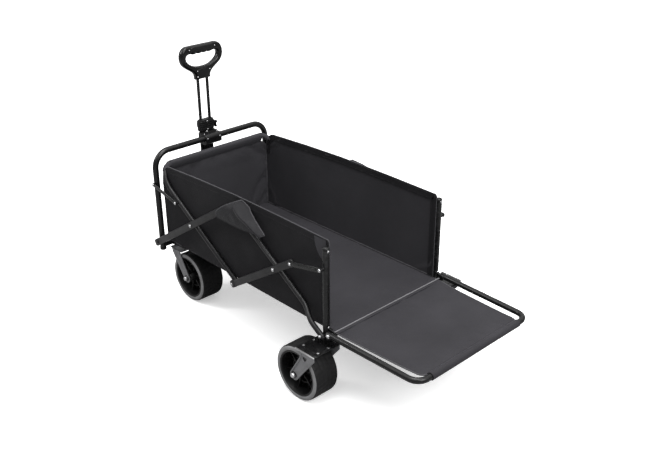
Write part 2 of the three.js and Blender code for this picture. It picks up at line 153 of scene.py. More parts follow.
def stadium(across, through, n=6):
    """A flat-oval section, across wide and through thick."""
    r, half = through / 2, (across - through) / 2
    turns = np.linspace(-math.pi / 2, math.pi / 2, n + 1)
    right = [(r * math.sin(a), half + r * math.cos(a)) for a in turns]
    left = [(-a, -b) for a, b in right]
    return right + left


def fillet(points, radius, steps=8):
    """A line through the points with its inner corners rounded to a radius."""
    pts = [Vector(p) for p in points]
    out = [pts[0]]
    for a, b, c in zip(pts, pts[1:], pts[2:]):
        u, v = (a - b).normalized(), (c - b).normalized()
        half = u.angle(v) / 2
        reach = min(radius / math.tan(half), (a - b).length, (c - b).length)
        centre = b + (u + v).normalized() * reach / math.cos(half)
        p, q = b + u * reach - centre, b + v * reach - centre
        turn = p.angle(q)
        for i in range(steps + 1):
            w = turn * i / steps
            out.append(centre + (p * math.sin(turn - w) + q * math.sin(w)) / math.sin(turn))
    return out + [pts[-1]]


def catmull(points, steps):
    """A smooth line through the points."""
    pts = [points[0] * 2 - points[1]] + list(points) + [points[-1] * 2 - points[-2]]
    out = [points[0]]
    for a, b, c, d in zip(pts, pts[1:], pts[2:], pts[3:]):
        for i in range(1, steps + 1):
            t = i / steps
            out.append(((b * 2) + (c - a) * t + (a * 2 - b * 5 + c * 4 - d) * t * t
                        + (b * 3 - a - c * 3 + d) * t * t * t) / 2)
    return out


def bezier(a, b, c, d, n=14):
    t = np.linspace(0, 1, n)[:, None]
    a, b, c, d = (np.array(p, float) for p in (a, b, c, d))
    return ((1 - t) ** 3 * a + 3 * (1 - t) ** 2 * t * b + 3 * (1 - t) * t * t * c + t ** 3 * d).tolist()


def inset(line, distance):
    """A line of (x, z) moved down its own normals."""
    pts = np.array(line)
    t = np.gradient(pts, axis=0)
    t /= np.linalg.norm(t, axis=1, keepdims=True)
    down = np.stack([t[:, 1], -t[:, 0]], 1)
    moved = pts + down * distance
    moved[:, 0] = np.clip(moved[:, 0], pts[0, 0] + 0.0005, pts[-1, 0] - 0.0005)
    return moved.tolist()


def domed(path, height, steps=3):
    """The path lengthened by a dome at each end, and the ring's scale at each of its points."""
    pts = [Vector(p) for p in path]
    first, last = (pts[0] - pts[1]).normalized(), (pts[-1] - pts[-2]).normalized()
    angles = [math.pi / 2 * (i / steps) * 0.94 for i in range(1, steps + 1)]
    head = [pts[0] + first * height * math.sin(a) for a in reversed(angles)]
    tail = [pts[-1] + last * height * math.sin(a) for a in angles]
    shrink = [math.cos(a) for a in angles]
    return head + pts + tail, shrink[::-1] + [1] * len(pts) + shrink


# ---- shapes: each returns (points, faces) ---------------------------------------------
def skin(rings, closed=False):
    """A row of rings of points joined by faces: capped at both ends, or closed into a loop."""
    n, count = len(rings[0]), len(rings)
    faces = []
    for k in range(count if closed else count - 1):
        low, high = k * n, (k + 1) % count * n
        faces += [(low + i, low + (i + 1) % n, high + (i + 1) % n, high + i) for i in range(n)]
    if not closed:
        faces += [tuple(range(n - 1, -1, -1)), tuple(range(n * (count - 1), n * count))]
    return [p for ring in rings for p in ring], faces


def unit(v):
    return v / max(np.linalg.norm(v), 1e-12)


def sweep(path, ring, scales):
    """A closed ring of (a, b) offsets carried along a path without twisting."""
    pts = np.array([tuple(p) for p in path], float)
    tangents = [unit(pts[min(i + 1, len(pts) - 1)] - pts[max(i - 1, 0)]) for i in range(len(pts))]
    upright = abs(tangents[0][2]) >= 0.9
    side = unit(np.cross(tangents[0], (0, 1, 0) if upright else (0, 0, 1)))
    rings = []
    for p, t, k in zip(pts, tangents, scales):
        side = unit(side - t * (side @ t))
        other = np.cross(side, t)
        rings.append([p + k * (a * side + b * other) for a, b in ring])
    return skin(rings)


def tube(path, r, n=20, dome=0.35):
    points, scales = domed(path, dome * r)
    return sweep(points, circle(r, n), scales)


def cross_tube(cad_name, n, dome, short=0.0):
    """A straight tube along Y in the place of a CAD node."""
    low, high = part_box(cad_name)
    x, z = (low.x + high.x) / 2, (low.z + high.z) / 2
    return tube([(x, low.y + short, z), (x, high.y - short, z)], (high.z - low.z) / 2, n, dome)


def post_plug(x, s, z0, z1, r, dome, steps, n):
    """A plastic plug in the end of an upright post."""
    points, scales = domed([(x, s * POST_Y, z0), (x, s * POST_Y, z1)], dome, steps)
    return sweep(points, circle(r, n), scales)


def oval_bar(start, end, across, through, dome):
    """A flat-oval bar in an XZ plane; its ends are rounded off."""
    points, scales = domed([start, end], dome, 5)
    return sweep(points, stadium(across, through), scales)


def end_plug(end, along, y, length):
    """A rounded plastic plug over the end of an outer bar; its inner end is cut square."""
    points, scales = domed([on(end - along * length, y), on(end, y)], BAR_WIDTH * 0.36, 6)
    for k in range(6):
        scales[k] = 1.0
        points[k] = on(end - along * (length + 0.0002 * (6 - k)), y)
    return sweep(points, stadium(BAR_WIDTH + 0.0016, BAR_THICK + 0.0014), scales)


def rib(line, r0, r1, height):
    """A pressed rib on a plate in an XZ plane: r0 and r1 are its half widths at the ends."""
    points, scales = domed(catmull(line, 5), r1, 3)
    last = len(points) - 1
    scales = [k * (r0 + (r1 - r0) * i / last) for i, k in enumerate(scales)]
    turns = np.linspace(0, 2 * math.pi, 16, endpoint=False)
    return sweep(points, [(height / r0 * 0.5 * math.sin(a), math.cos(a)) for a in turns], scales)


def lathe(profile, x, z, s=1, n=48, closed=False, wave=None):
    """A turned shape about the Y line through (x, z): profile points are (radius, distance from the
    middle plane on side s). wave(angle, radius, y) may add to a radius."""
    points, faces, rings = [], [], []
    for r, y in profile:
        if r < FLAT:
            rings.append([len(points)] * n)
            points.append((x, s * y, z))
            continue
        rings.append(list(range(len(points), len(points) + n)))
        for i in range(n):
            a = 2 * math.pi * i / n
            rr = r + (wave(a, r, y) if wave else 0)
            points.append((x + rr * math.cos(a), s * y, z + rr * math.sin(a)))
    pairs = list(zip(rings, rings[1:])) + ([(rings[-1], rings[0])] if closed else [])
    for low, high in pairs:
        for i in range(n):
            j = (i + 1) % n
            face = []
            for k in (low[i], low[j], high[j], high[i]):
                if k not in face:
                    face.append(k)
            if len(face) > 2:
                faces.append(tuple(face))
    return points, faces


def disc(p, s, r, y0, y1, n=24):
    """A disc, pin or, with n = 6, a hexagon about the Y line through p."""
    return lathe([(0, y0), (r, y0), (r, y1), (0, y1)], p.x, p.z, s, n)


def dome_head(p, y0, s, r, height, washer=0.0):
    """A round-headed rivet or bolt about the Y line through p, standing outwards from y0 on side s."""
    brim = y0 + 0.0008
    profile = [(0, y0 - 0.002), (r + washer, y0 - 0.002), (r + washer, brim)]
    turns = np.linspace(0, math.pi / 2 * 0.98, 7)
    profile += [(r * math.cos(a), brim + height * math.sin(a)) for a in turns]
    return lathe(profile + [(0, brim + height)], p.x, p.z, s, 28)


def button(x, y, z, r, height):
    """A low screw head standing up from z."""
    steps = ((r, -0.001), (r, height * 0.3), (r * 0.86, height * 0.75), (r * 0.5, height))
    return skin([[(x + a, y + b, z + h) for a, b in circle(k)] for k, h in steps])


def screw_x(x, y, z, out, r):
    """A domed screw head facing along X."""
    steps = ((r, -0.0012), (r, 0.0004), (r * 0.86, 0.0011), (r * 0.5, 0.0016))
    return skin([[(x + out * h, y + a, z + b) for a, b in circle(k)] for k, h in steps])


def cylinder(x, y, r, z0, z1, n=28):
    return skin([[(x + a, y + b, z) for a, b in circle(r, n)] for z in (z0, z1)])


def hollow_tube(x, y, outer, inner, z0, z1, n=28):
    steps = ((outer, z0), (outer, z1), (inner, z1), (inner, z0))
    return skin([[(x + a, y + b, z) for a, b in circle(r, n)] for r, z in steps], True)


def from_bmesh(bm):
    bm.verts.index_update()
    points = [tuple(v.co) for v in bm.verts]
    faces = [tuple(v.index for v in f.verts) for f in bm.faces]
    bm.free()
    return points, faces


def block(low, high, bevel=0.001, turn=Matrix()):
    """A box with rounded edges, moved by turn."""
    low, high = np.minimum(low, high), np.maximum(low, high)
    bm = bmesh.new()
    bmesh.ops.create_cube(bm, size=1)
    for v in bm.verts:
        v.co = Vector(low + (np.array(v.co) + 0.5) * (high - low))
    bmesh.ops.bevel(bm, geom=bm.edges[:], offset=bevel, segments=2, profile=0.5, affect="EDGES")
    points, faces = from_bmesh(bm)
    return [turn @ Vector(p) for p in points], faces


def stamped(outlines, thickness, bevel, axis, level):
    """A plate with rounded edges, square to an axis ("X", "Y" or "Z") at a level along it. outlines are
    closed loops of the two other coordinates, the first outside and the others holes."""
    data = bpy.data.curves.new("outline", "CURVE")
    data.dimensions = "2D"
    data.fill_mode = "BOTH"
    data.extrude = thickness / 2 - bevel
    data.bevel_depth = bevel
    data.bevel_resolution = 2
    data.offset = -bevel
    for loop in outlines:
        spline = data.splines.new("POLY")
        spline.points.add(len(loop) - 1)
        for p, (a, b) in zip(spline.points, loop):
            p.co = (a, b, 0, 1)
        spline.use_cyclic_u = True
    obj = bpy.data.objects.new("outline", data)
    scene.collection.objects.link(obj)
    mesh = bpy.data.meshes.new_from_object(obj.evaluated_get(bpy.context.evaluated_depsgraph_get()))
    bm = bmesh.new()
    bm.from_mesh(mesh)
    bmesh.ops.remove_doubles(bm, verts=bm.verts[:], dist=1e-6)
    bpy.data.objects.remove(obj)
    bpy.data.meshes.remove(mesh)
    points, faces = from_bmesh(bm)
    k = "XYZ".index(axis)
    return [(*p[:k], level + p[2], *p[k:2]) for p in points], faces


def normals(g):
    """Unit normals of a grid of points."""
    normal = np.cross(np.gradient(g, axis=0), np.gradient(g, axis=1))
    return normal / np.maximum(np.linalg.norm(normal, axis=2, keepdims=True), 1e-12)


def sheet(grid, thickness):
    """A sheet of even thickness about a grid of points, closed along its edges."""
    g = np.asarray(grid, float)
    nu, nv = g.shape[:2]
    half = normals(g) * thickness / 2
    points = np.concatenate([(g - half).reshape(-1, 3), (g + half).reshape(-1, 3)])
    at = lambda i, j, k: k * nu * nv + i * nv + j
    faces = []
    for i in range(nu - 1):
        for j in range(nv - 1):
            faces.append((at(i, j, 0), at(i + 1, j, 0), at(i + 1, j + 1, 0), at(i, j + 1, 0)))
            faces.append((at(i, j, 1), at(i, j + 1, 1), at(i + 1, j + 1, 1), at(i + 1, j, 1)))
    rim = [(i, 0) for i in range(nu)] + [(nu - 1, j) for j in range(1, nv)]
    rim += [(i, nv - 1) for i in range(nu - 2, -1, -1)] + [(0, j) for j in range(nv - 2, 0, -1)]
    for a, b in zip(rim, rim[1:] + rim[:1]):
        faces.append((at(*a, 0), at(*a, 1), at(*b, 1), at(*b, 0)))
    return points.tolist(), faces


STITCH_PITCH, STITCH_LENGTH, STITCH_WIDTH = 0.0056, 0.0038, 0.0011


def stitches(path, outwards):
    """A row of thread stitches laid along a path, standing on the cloth."""
    pts = [Vector(p) for p in path]
    out = Vector(outwards) * STITCH_WIDTH * 0.55
    points, faces = [], []
    run = 0.0
    for a, b in zip(pts, pts[1:]):
        span = (b - a).length
        along = (b - a) / span
        across = along.cross(out).normalized() * STITCH_WIDTH / 2
        while run + STITCH_LENGTH < span:
            p, q = a + along * run, a + along * (run + STITCH_LENGTH)
            m = (p + q) / 2
            base = len(points)
            points += [p, m + across, q, m - across, m + out, m - out]
            for i in range(4):
                j = (i + 1) % 4
                faces += [(base + i, base + j, base + 4), (base + j, base + i, base + 5)]
            run += STITCH_PITCH
        run = max(run - span, 0.0)
    return points, faces


# edges that turn by more degrees than this are shown sharp
ROUND, PRESSED, HEXAGON = 38, 30, 25
SLOT_SHARP = {"fabric": 60, "tyre": 60, "bracket": PRESSED}


class Piece:
    """Collects shapes into one mesh; each shape has the number of its material."""

    def __init__(self, *shapes):
        self.points, self.faces, self.slots = [], [], []
        for shape in shapes:
            self.add(shape)

    def add(self, shape, slot=0):
        points, faces = shape
        base = len(self.points)
        self.points += [tuple(p) for p in points]
        self.faces += [tuple(base + i for i in f) for f in faces]
        self.slots += [slot] * len(faces)

    def make(self, name, materials, body, cad_name, slot, sharp=None):
        """The mesh as an object, riding on a body (None: left unattached) in place of a CAD node."""
        mesh = bpy.data.meshes.new(name)
        mesh.from_pydata(self.points, [], self.faces)
        mesh.polygons.foreach_set("material_index", self.slots)
        bm = bmesh.new()
        bm.from_mesh(mesh)
        bmesh.ops.recalc_face_normals(bm, faces=bm.faces[:])
        bm.to_mesh(mesh)
        bm.free()
        mesh.shade_smooth()
        mesh.set_sharp_from_angle(angle=math.radians(sharp or SLOT_SHARP.get(slot, ROUND)))
        for m in materials:
            mesh.materials.append(m)
        obj = bpy.data.objects.new(name, mesh)
        scene.collection.objects.link(obj)
        if body:
            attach(obj, body)
        if cad_name:
            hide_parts(cad_name)
        return obj


# ---- cloth ----------------------------------------------------------------------------
CLOTH_FRAMES = 20
PANEL_THICK = 0.0018


def settle(grid, held, push, cap, spare, seed):
    """The grid as cloth: held at some points, cut a little too large, and pushed along its normals.
    No point moves further than cap."""
    g = np.asarray(grid, float)
    nu, nv = g.shape[:2]
    normal = normals(g)
    ripple = np.array([[noise.noise(Vector(p) * 14 + Vector((seed, 0, 0))) for p in row] for row in g])
    start = g + normal * (ripple * 0.0012 * (1 - held))[..., None]
    move = run_cloth(start, held, push, spare) - g
    size = np.maximum(np.linalg.norm(move, axis=2, keepdims=True), 1e-9)
    return g + move * (cap * np.tanh(size / cap) / size)


def run_cloth(start, held, push, spare):
    """The grid after the cloth simulation."""
    nu, nv = held.shape
    mesh = bpy.data.meshes.new("cloth")
    quads = [(i * nv + j, (i + 1) * nv + j, (i + 1) * nv + j + 1, i * nv + j + 1)
             for i in range(nu - 1) for j in range(nv - 1)]
    mesh.from_pydata(start.reshape(-1, 3).tolist(), [], quads)
    obj = bpy.data.objects.new("cloth", mesh)
    scene.collection.objects.link(obj)
    group = obj.vertex_groups.new(name="held")
    group.add([int(k) for k in np.flatnonzero(held.reshape(-1) > 0.5)], 1.0, "ADD")
    m = obj.modifiers.new("cloth", "CLOTH")
    s = m.settings
    s.quality = 6
    s.mass = 0.15
    s.tension_stiffness = s.compression_stiffness = 25
    s.shear_stiffness = 8
    s.bending_stiffness = 0.6
    s.vertex_group_mass = "held"
    s.shrink_min = -spare
    s.use_pressure = True
    s.uniform_pressure_force = push
    s.effector_weights.gravity = 0
    m.point_cache.frame_start, m.point_cache.frame_end = 1, CLOTH_FRAMES
    for f in range(1, CLOTH_FRAMES + 1):
        scene.frame_set(f)
    done = obj.evaluated_get(bpy.context.evaluated_depsgraph_get()).to_mesh()
    co = np.zeros(nu * nv * 3)
    done.vertices.foreach_get("co", co)
    bpy.data.objects.remove(obj)
    bpy.data.meshes.remove(mesh)
    scene.frame_set(1)
    return co.reshape(nu, nv, 3)


def ends_held(nu, nv):
    """A mask of the grid's two ends along its first index."""
    held = np.zeros((nu, nv))
    held[[0, -1]] = 1
    return held


def edges_held(nu, nv):
    """A mask of all the grid's edges."""
    held = ends_held(nu, nv)
    held[:, [0, -1]] = 1
    return held


# ---- materials ------------------------------------------------------------------------
def wire(tree, value, socket):
    """Joins an output to a socket, or sets the socket's value."""
    if isinstance(value, bpy.types.NodeSocket):
        tree.links.new(value, socket)
    else:
        socket.default_value = value


def node(tree, kind, out=0, fields=None, **inputs):
    """A new node's output. An input is named, or numbered as i0, i1 and so on."""
    n = tree.nodes.new(kind)
    for key, value in (fields or {}).items():
        setattr(n, key, value)
    for key, value in inputs.items():
        numbered = key[0] == "i" and key[1:].isdigit()
        wire(tree, value, n.inputs[int(key[1:])] if numbered else n.inputs[key])
    return n.outputs[out]


def calc(tree, operation, a, b=0.5):
    return node(tree, "ShaderNodeMath", 0, {"operation": operation}, i0=a, i1=b)


def mix(tree, share, a, b, how="MIX"):
    return node(tree, "ShaderNodeMix", 2, {"data_type": "RGBA", "blend_type": how}, i0=share, i6=a, i7=b)


def ramp(tree, fac, low, high, start=0.3, end=0.7):
    """A mix between two colours as fac goes from start to end."""
    n = tree.nodes.new("ShaderNodeValToRGB")
    tree.links.new(fac, n.inputs["Fac"])
    for element, place, colour in zip(n.color_ramp.elements, (start, end), (low, high)):
        element.position = place
        element.color = (*colour, 1)
    return n.outputs["Color"]


def grey(value):
    return (value,) * 3


def scaled(colour, k):
    return tuple(c * k for c in colour)


def speckle(tree, scale, detail=3.0, rough=0.6, place=None):
    place = place or node(tree, "ShaderNodeTexCoord", "Object")
    looks = {"Vector": place, "Scale": scale, "Detail": detail, "Roughness": rough}
    return node(tree, "ShaderNodeTexNoise", "Fac", **looks)


def level(tree, fac, low, high):
    return node(tree, "ShaderNodeMapRange", 0, i0=fac, i1=0.3, i2=0.7, i3=low, i4=high)


def finish_material(name, colour, roughness, bump, extras):
    """A material from functions of its node tree; bump gives a height, a strength and a distance."""
    m = bpy.data.materials.new(name)
    m.use_nodes = True
    tree = m.node_tree
    tree.nodes.clear()
    shader = tree.nodes.new("ShaderNodeBsdfPrincipled")
    output = tree.nodes.new("ShaderNodeOutputMaterial")
    tree.links.new(shader.outputs[0], output.inputs[0])
    height, strength, distance = bump(tree)
    inputs = {
        "Base Color": colour(tree),
        "Roughness": roughness(tree),
        "Normal": node(tree, "ShaderNodeBump", Height=height, Strength=strength, Distance=distance),
    }
    for key, value in {**inputs, **extras}.items():
        wire(tree, value, shader.inputs[key])
    m.diffuse_color = (0.2, 0.2, 0.2, 1)
    return m


def weave_height(tree, pitch):
    """Two crossing sets of threads; it reads on any face, whichever way the face looks."""
    place = node(tree, "ShaderNodeTexCoord", "Object")
    k = 2 * math.pi / pitch
    threads = []
    for way in ((k, k, 0), (0, 0.8 * k, k)):
        run = node(tree, "ShaderNodeVectorMath", "Value", {"operation": "DOT_PRODUCT"}, i0=place, i1=way)
        threads.append(calc(tree, "SINE", run))
    return calc(tree, "MULTIPLY", *threads)


def fabric(name, base, pitch=0.0013, sheen=0.12, rough=0.74):
    """Coated woven polyester: fine threads, slubs, a soft unevenness over the panel."""
    def colour(t):
        broad = ramp(t, speckle(t, 5.0, 2.0), scaled(base, 0.86), scaled(base, 1.14))
        thread = ramp(t, weave_height(t, pitch), grey(0.88), grey(1.08), 0.2, 0.8)
        return mix(t, 1.0, broad, thread, "MULTIPLY")

    def roughness(t):
        return level(t, speckle(t, 9.0), rough - 0.08, rough + 0.08)

    def bump(t):
        slub = calc(t, "MULTIPLY", speckle(t, 160.0, 2.0), 0.9)
        return calc(t, "ADD", weave_height(t, pitch), slub), 0.28, 0.0002

    extras = {"Sheen Weight": sheen, "Sheen Roughness": 0.5, "Sheen Tint": (0.3, 0.3, 0.33, 1),
              "Specular IOR Level": 0.15}
    return finish_material(name, colour, roughness, bump, extras)


WORN_EDGE = (0.035, 0.035, 0.037, 1)


def painted(name, base, rough):
    """Powder coat: orange peel, uneven gloss, and edges rubbed lighter."""
    def colour(t):
        edge = ramp(t, node(t, "ShaderNodeNewGeometry", "Pointiness"), grey(0), grey(1), 0.53, 0.62)
        patch = ramp(t, speckle(t, 60.0), grey(0), grey(0.6), 0.52, 0.7)
        body = ramp(t, speckle(t, 12.0), scaled(base, 0.85), scaled(base, 1.2))
        return mix(t, calc(t, "MULTIPLY", edge, patch), body, WORN_EDGE)

    def roughness(t):
        return level(t, speckle(t, 30.0), rough - 0.07, rough + 0.1)

    def bump(t):
        return speckle(t, 900.0, 1.0), 0.12, 0.0004

    return finish_material(name, colour, roughness, bump, {"Metallic": 0.0, "Specular IOR Level": 0.3})


def steel(name, base, rough, metallic, stretch):
    """Rolled or plated steel with a fine grain, dulled in patches."""
    def grain(t):
        place = node(t, "ShaderNodeTexCoord", "Object")
        drawn = node(t, "ShaderNodeMapping", 0, Vector=place, Scale=stretch)
        return speckle(t, 90.0, 4.0, 0.7, drawn)

    def colour(t):
        return ramp(t, speckle(t, 35.0), scaled(base, 0.8), scaled(base, 1.12))

    def roughness(t):
        return level(t, grain(t), rough - 0.09, rough + 0.13)

    def bump(t):
        return grain(t), 0.16, 0.0003

    return finish_material(name, colour, roughness, bump, {"Metallic": metallic})


def moulded(name, base, rough=0.42, grain=700.0, depth=0.2):
    """Moulded plastic or rubber with a fine spark-eroded texture and a little dust."""
    def colour(t):
        return ramp(t, speckle(t, 18.0), scaled(base, 0.82), scaled(base, 1.25))

    def roughness(t):
        return level(t, speckle(t, 25.0), rough - 0.08, rough + 0.1)

    def bump(t):
        return speckle(t, grain, 2.0), depth, 0.0004

    return finish_material(name, colour, roughness, bump, {"Specular IOR Level": 0.26})


# One charcoal cloth in copies of different tone, painted for how light falls on each place: the dark shaded
# copy on the sides' outer faces and the floor's edge piping, the lighter lit copies on the front panel, hem
# and corner patch and on the sides' inner faces, and a mid copy on the floor and tailgate.
CLOTH = fabric("charcoal_shaded_copy", (0.0068, 0.0064, 0.0074), sheen=0.08)
LIT_CLOTH = fabric("charcoal_lit_copy", (0.0345, 0.0336, 0.0375))
SIDE_INNER_LIT_CLOTH = fabric("charcoal_side_inner_lit_copy", (0.0215, 0.0208, 0.0232))
CLOTH_FLOOR = fabric("charcoal_floor", (0.0240, 0.0230, 0.0262), 0.0016)
BINDING = fabric("grey_binding", (0.055, 0.054, 0.058), 0.0009, 0.2)
HINGE_BINDING = fabric("light_binding", (0.15, 0.148, 0.155), 0.0009, 0.2)
FLAP = fabric("flap_polyester", (0.0082, 0.0079, 0.0093), 0.0012, 0.10, 0.5)
THREAD = fabric("sewing_thread", (0.032, 0.032, 0.034), 0.0006, 0.2)
PAINT = painted("black_powder_coat", (0.0034, 0.0034, 0.0036), 0.27)
BAR_PAINT = painted("bar_powder_coat", (0.0050, 0.0048, 0.0055), 0.36)
ROD = painted("black_gloss_rod", (0.0028, 0.0028, 0.0030), 0.22)
BRACKET = steel("grey_stamped_steel", (0.155, 0.155, 0.161), 0.46, 0.35, (6, 1, 6))
# painted highlight: bright metal for the strip along the rear bracket's top edge
EDGE_HIGHLIGHT = steel("edge_highlight_steel", grey(0.42), 0.34, 0.9, (6, 1, 6))
ZINC = steel("zinc_plate", (0.30, 0.30, 0.31), 0.36, 0.9, (1, 1, 14))
BRIGHT = steel("bright_rivet", (0.55, 0.55, 0.56), 0.24, 1.0, (4, 4, 4))
PLASTIC = moulded("black_plastic", (0.0036, 0.0036, 0.0039), 0.38)
GLOSS = moulded("grip_plastic", (0.0034, 0.0034, 0.0036), 0.2, 900.0, 0.08)
RIM = moulded("rim_plastic", (0.0038, 0.0038, 0.0040), 0.4)
TREAD = moulded("tread_rubber", (0.0050, 0.0050, 0.0053), 0.6, 420.0, 0.35)
SIDEWALL = moulded("sidewall_grey", (0.165, 0.165, 0.168), 0.6, 300.0, 0.25)


# ---- tubes and bars -------------------------------------------------------------------
def front_frame():
    low, high = POST_BOX
    corners = [(FRONT.x, -POST_Y, low.z), (FRONT.x, -POST_Y, CROSSBAR_Z),
               (FRONT.x, POST_Y, CROSSBAR_Z), (FRONT.x, POST_Y, low.z)]
    frame_tube = Piece(tube(fillet(corners, FRAME_BEND, 10), POST_R, 28, 0.1))
    frame_tube.make("front_frame", [PAINT], "front_frame", "front_frame_tube", "frame")
    feet = Piece()
    for _, s in SIDES:
        feet.add(post_plug(FRONT.x, s, low.z + 0.011, low.z + 0.001, POST_R + 0.0009, 0.001, 2, 28))
    feet.make("front_post_feet", [PLASTIC], "front_frame", None, "moulding")
    bar = Piece(cross_tube("front_lower_bar", 24, 0.1, 0.002))
    bar.make("front_bar", [PAINT], "front_frame", "front_lower_bar", "frame")
    for side, _ in SIDES:
        low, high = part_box(f"caster_plate_{side}")
        king = PIVOTS[f"caster_swivel_{side}"]
        outline = arc(king.x, king.y, 0.030, -90, 90, 18) + [(low.x, high.y), (low.x, low.y)]
        outlines = [outline, hole(king.x, king.y, 0.0084)]
        plate = Piece(stamped(outlines, high.z - low.z, 0.0006, "Z", (low.z + high.z) / 2))
        for dy in (-0.027, 0.027):
            plate.add(button(FRONT.x + 0.0125, king.y + dy, high.z, 0.0042, 0.0026), 1)
        cad_name = f"caster_plate_{side}"
        plate.make(f"caster_mount_{side}", [PAINT, BRIGHT], "front_frame", cad_name, "frame")


def rear_frame():
    low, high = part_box("rear_frame_tube")
    tubes, caps, screws = Piece(), Piece(), Piece()
    for _, s in SIDES:
        y, r = s * POST_Y, POST_R + 0.0002
        tubes.add(tube([(REAR.x, y, low.z), (REAR.x, y, high.z - 0.004)], POST_R, 28, 0.05))
        caps.add(post_plug(REAR.x, s, high.z - 0.007, high.z - 0.001, r, r * 0.5, 4, 24))
        caps.add(post_plug(REAR.x, s, low.z + 0.009, low.z + 0.001, r, 0.001, 2, 28))
        for z in (SIDE_BOX[1].z - 0.034, low.z + 0.052):
            screws.add(screw_x(REAR.x + POST_R, y, z, 1, 0.0042))
    bar_z = low.z + 0.0114
    tubes.add(tube([(REAR.x, -POST_Y, bar_z), (REAR.x, POST_Y, bar_z)], 0.0095, 24, 0.05))
    tubes.make("rear_frame", [PAINT], "rear_frame", "rear_frame_tube", "frame")
    caps.make("rear_post_caps", [PLASTIC], "rear_frame", None, "moulding")
    screws.make("rear_post_screws", [BRIGHT], "rear_frame", None, "bolt")


def outer_bar(letter, side, s, ends, plugs, joint):
    """Bar A or C: a flat oval with plastic plugs, and a boss and a bright rivet at one joint."""
    y = s * (BAR_IN + BAR_OUT) / 2
    bar = Piece(oval_bar(on(ends[0], y), on(ends[1], y), BAR_WIDTH, BAR_THICK, 0.0085))
    bar.add(disc(joint, s, 0.009, BOSS_IN, 0.2604, 28))
    for end, along, length in plugs:
        bar.add(end_plug(end, along, y, length), 1)
    bar.add(dome_head(joint, BAR_OUT, s, 0.0050, 0.0022, 0.0010), 2)
    name = f"scissor_{letter}"
    bar.make(f"bar_{letter}_{side}", [BAR_PAINT, PLASTIC, BRIGHT], name, f"{name}_{side}", "frame")


def bar_d(side, s):
    """A round tube, set outwards near its lower end to pass the rear post."""
    line = [on(MID_C - DOWN * (HALF_BAR + 0.003), s * INNER_Y)]
    for t in np.linspace(0, 1, 9):
        y = INNER_Y + smooth(t) * (BAR_D_OUT - INNER_Y)
        line.append(on(MID_C + DOWN * (0.134 + 0.080 * t), s * y))
    line.append(on(MID_C + DOWN * (HALF_BAR + 0.010), s * BAR_D_OUT))
    bar = Piece(tube(line, INNER_R, 24))
    bar.make(f"bar_d_{side}", [BAR_PAINT], "scissor_d", f"scissor_d_{side}", "frame")


def scissors():
    for side, s in SIDES:
        # A runs on past the front pivot, and C past its middle to the rear link
        tail = FRONT - UP * 0.0155
        outer_bar("a", side, s, (tail, TOP), [(tail, -UP, 0.022)], TOP)
        low, tip = on(FRONT.lerp(REAR, 0.5), 0), MID_C + UP * LINK_PIVOT
        low.z = FRONT.z
        outer_bar("c", side, s, (low, tip), [(low, -UP, 0.016), (tip, UP, 0.012)], low)
        bar_d(side, s)
        for name, body, p, y in (
            ("front_pivot", "front_frame", FRONT, BAR_OUT),
            ("rivet_front", "scissor_a", MID_B, BAR_OUT),
            ("rivet_rear", "scissor_c", MID_C, BAR_OUT),
            ("rear_pivot", "rear_frame", REAR, BAR_D_OUT + INNER_R),
        ):
            pin = Piece(dome_head(p, y + 0.0004, s, 0.0050, 0.0028, 0.0011))
            pin.add(disc(p, s, 0.004, SHANK_IN, y + 0.001, 20))
            if name.startswith("rivet"):
                pin.add(disc(p, s, 0.009, BOSS_IN, 0.2597))
            head = [PLASTIC if p is FRONT else BRIGHT]
            pin.make(f"{name}_{side}_head", head, body, f"{name}_{side}", "bolt")


def bar_b():
    """Bar B: both arms and the tube through the front hem are one bend. Returns the hem's place."""
    out = DOWN.cross(Vector((0, 1, 0)))
    out = out if out.z > 0 else -out
    put = lambda u, v, y: on(MID_B + DOWN * u + out * v, y)
    bend = [put(*p) for p in (
        (-0.165, 0.0006, 0.2465), (-0.192, 0.008, 0.2456), (-0.216, 0.0175, 0.239),
        (-0.234, 0.0245, 0.227), (-0.246, 0.0295, 0.206))]
    half = [put(HALF_BAR + 0.009, 0, INNER_Y), put(-0.140, 0, INNER_Y)] + catmull(bend, 6)
    path = [on(p, -p.y) for p in half] + list(reversed(half))
    bar = Piece(tube(path, INNER_R, 24))
    bar.make("bar_b", [BAR_PAINT], "scissor_b", "scissor_b_frame", "frame")
    # the hem's cloth goes on round the bends, to the bed's corners
    corners = Piece()
    for _, s in SIDES:
        corners.add(tube([on(p, s * p.y) for p in half if p.y < 0.2350], INNER_R + 0.0017, 28, 0.1))
    # the corners take the lighter lit copy of the cloth: painted light
    corners.make("hem_corner_cloth", [LIT_CLOTH], "scissor_b", None, "fabric")
    rod = Piece(cross_tube("floor_cross_bar", 20, 0.35))
    rod.make("floor_bar", [PAINT], "scissor_b", "floor_cross_bar", "frame")
    return bend[-1]


def links():
    front_far, rear_far = MID_B - DOWN * LINK_PIVOT, MID_C + UP * LINK_PIVOT
    for side, s in SIDES:
        for end, far, y, w, far_in in (
            ("front", front_far, 0.26325, 0.014, 0.2554),
            ("rear", rear_far, 0.27245, 0.016, 0.2699),
        ):
            post = PIVOTS[f"{end}_link_pivot"]
            a, b = on(post, s * y), on(far, s * y)
            arm = Piece(oval_bar(a, b, w, 0.0045, w * 0.45))
            raised = Vector((0, s * 0.0026, 0))
            arm.add(oval_bar(a.lerp(b, 0.14) + raised, a.lerp(b, 0.86) + raised, w * 0.42, 0.0026, w * 0.2))
            for p, inner in ((post, SHANK_IN), (far, far_in)):
                arm.add(disc(p, s, 0.0062, inner, y + 0.002))
                arm.add(dome_head(p, y + 0.0024, s, 0.0046, 0.0028, 0.0010), 1)
            name = f"{end}_link"
            arm.make(f"{name}_arm_{side}", [PAINT, BRIGHT], f"{name}s", f"{name}_{side}", "frame")


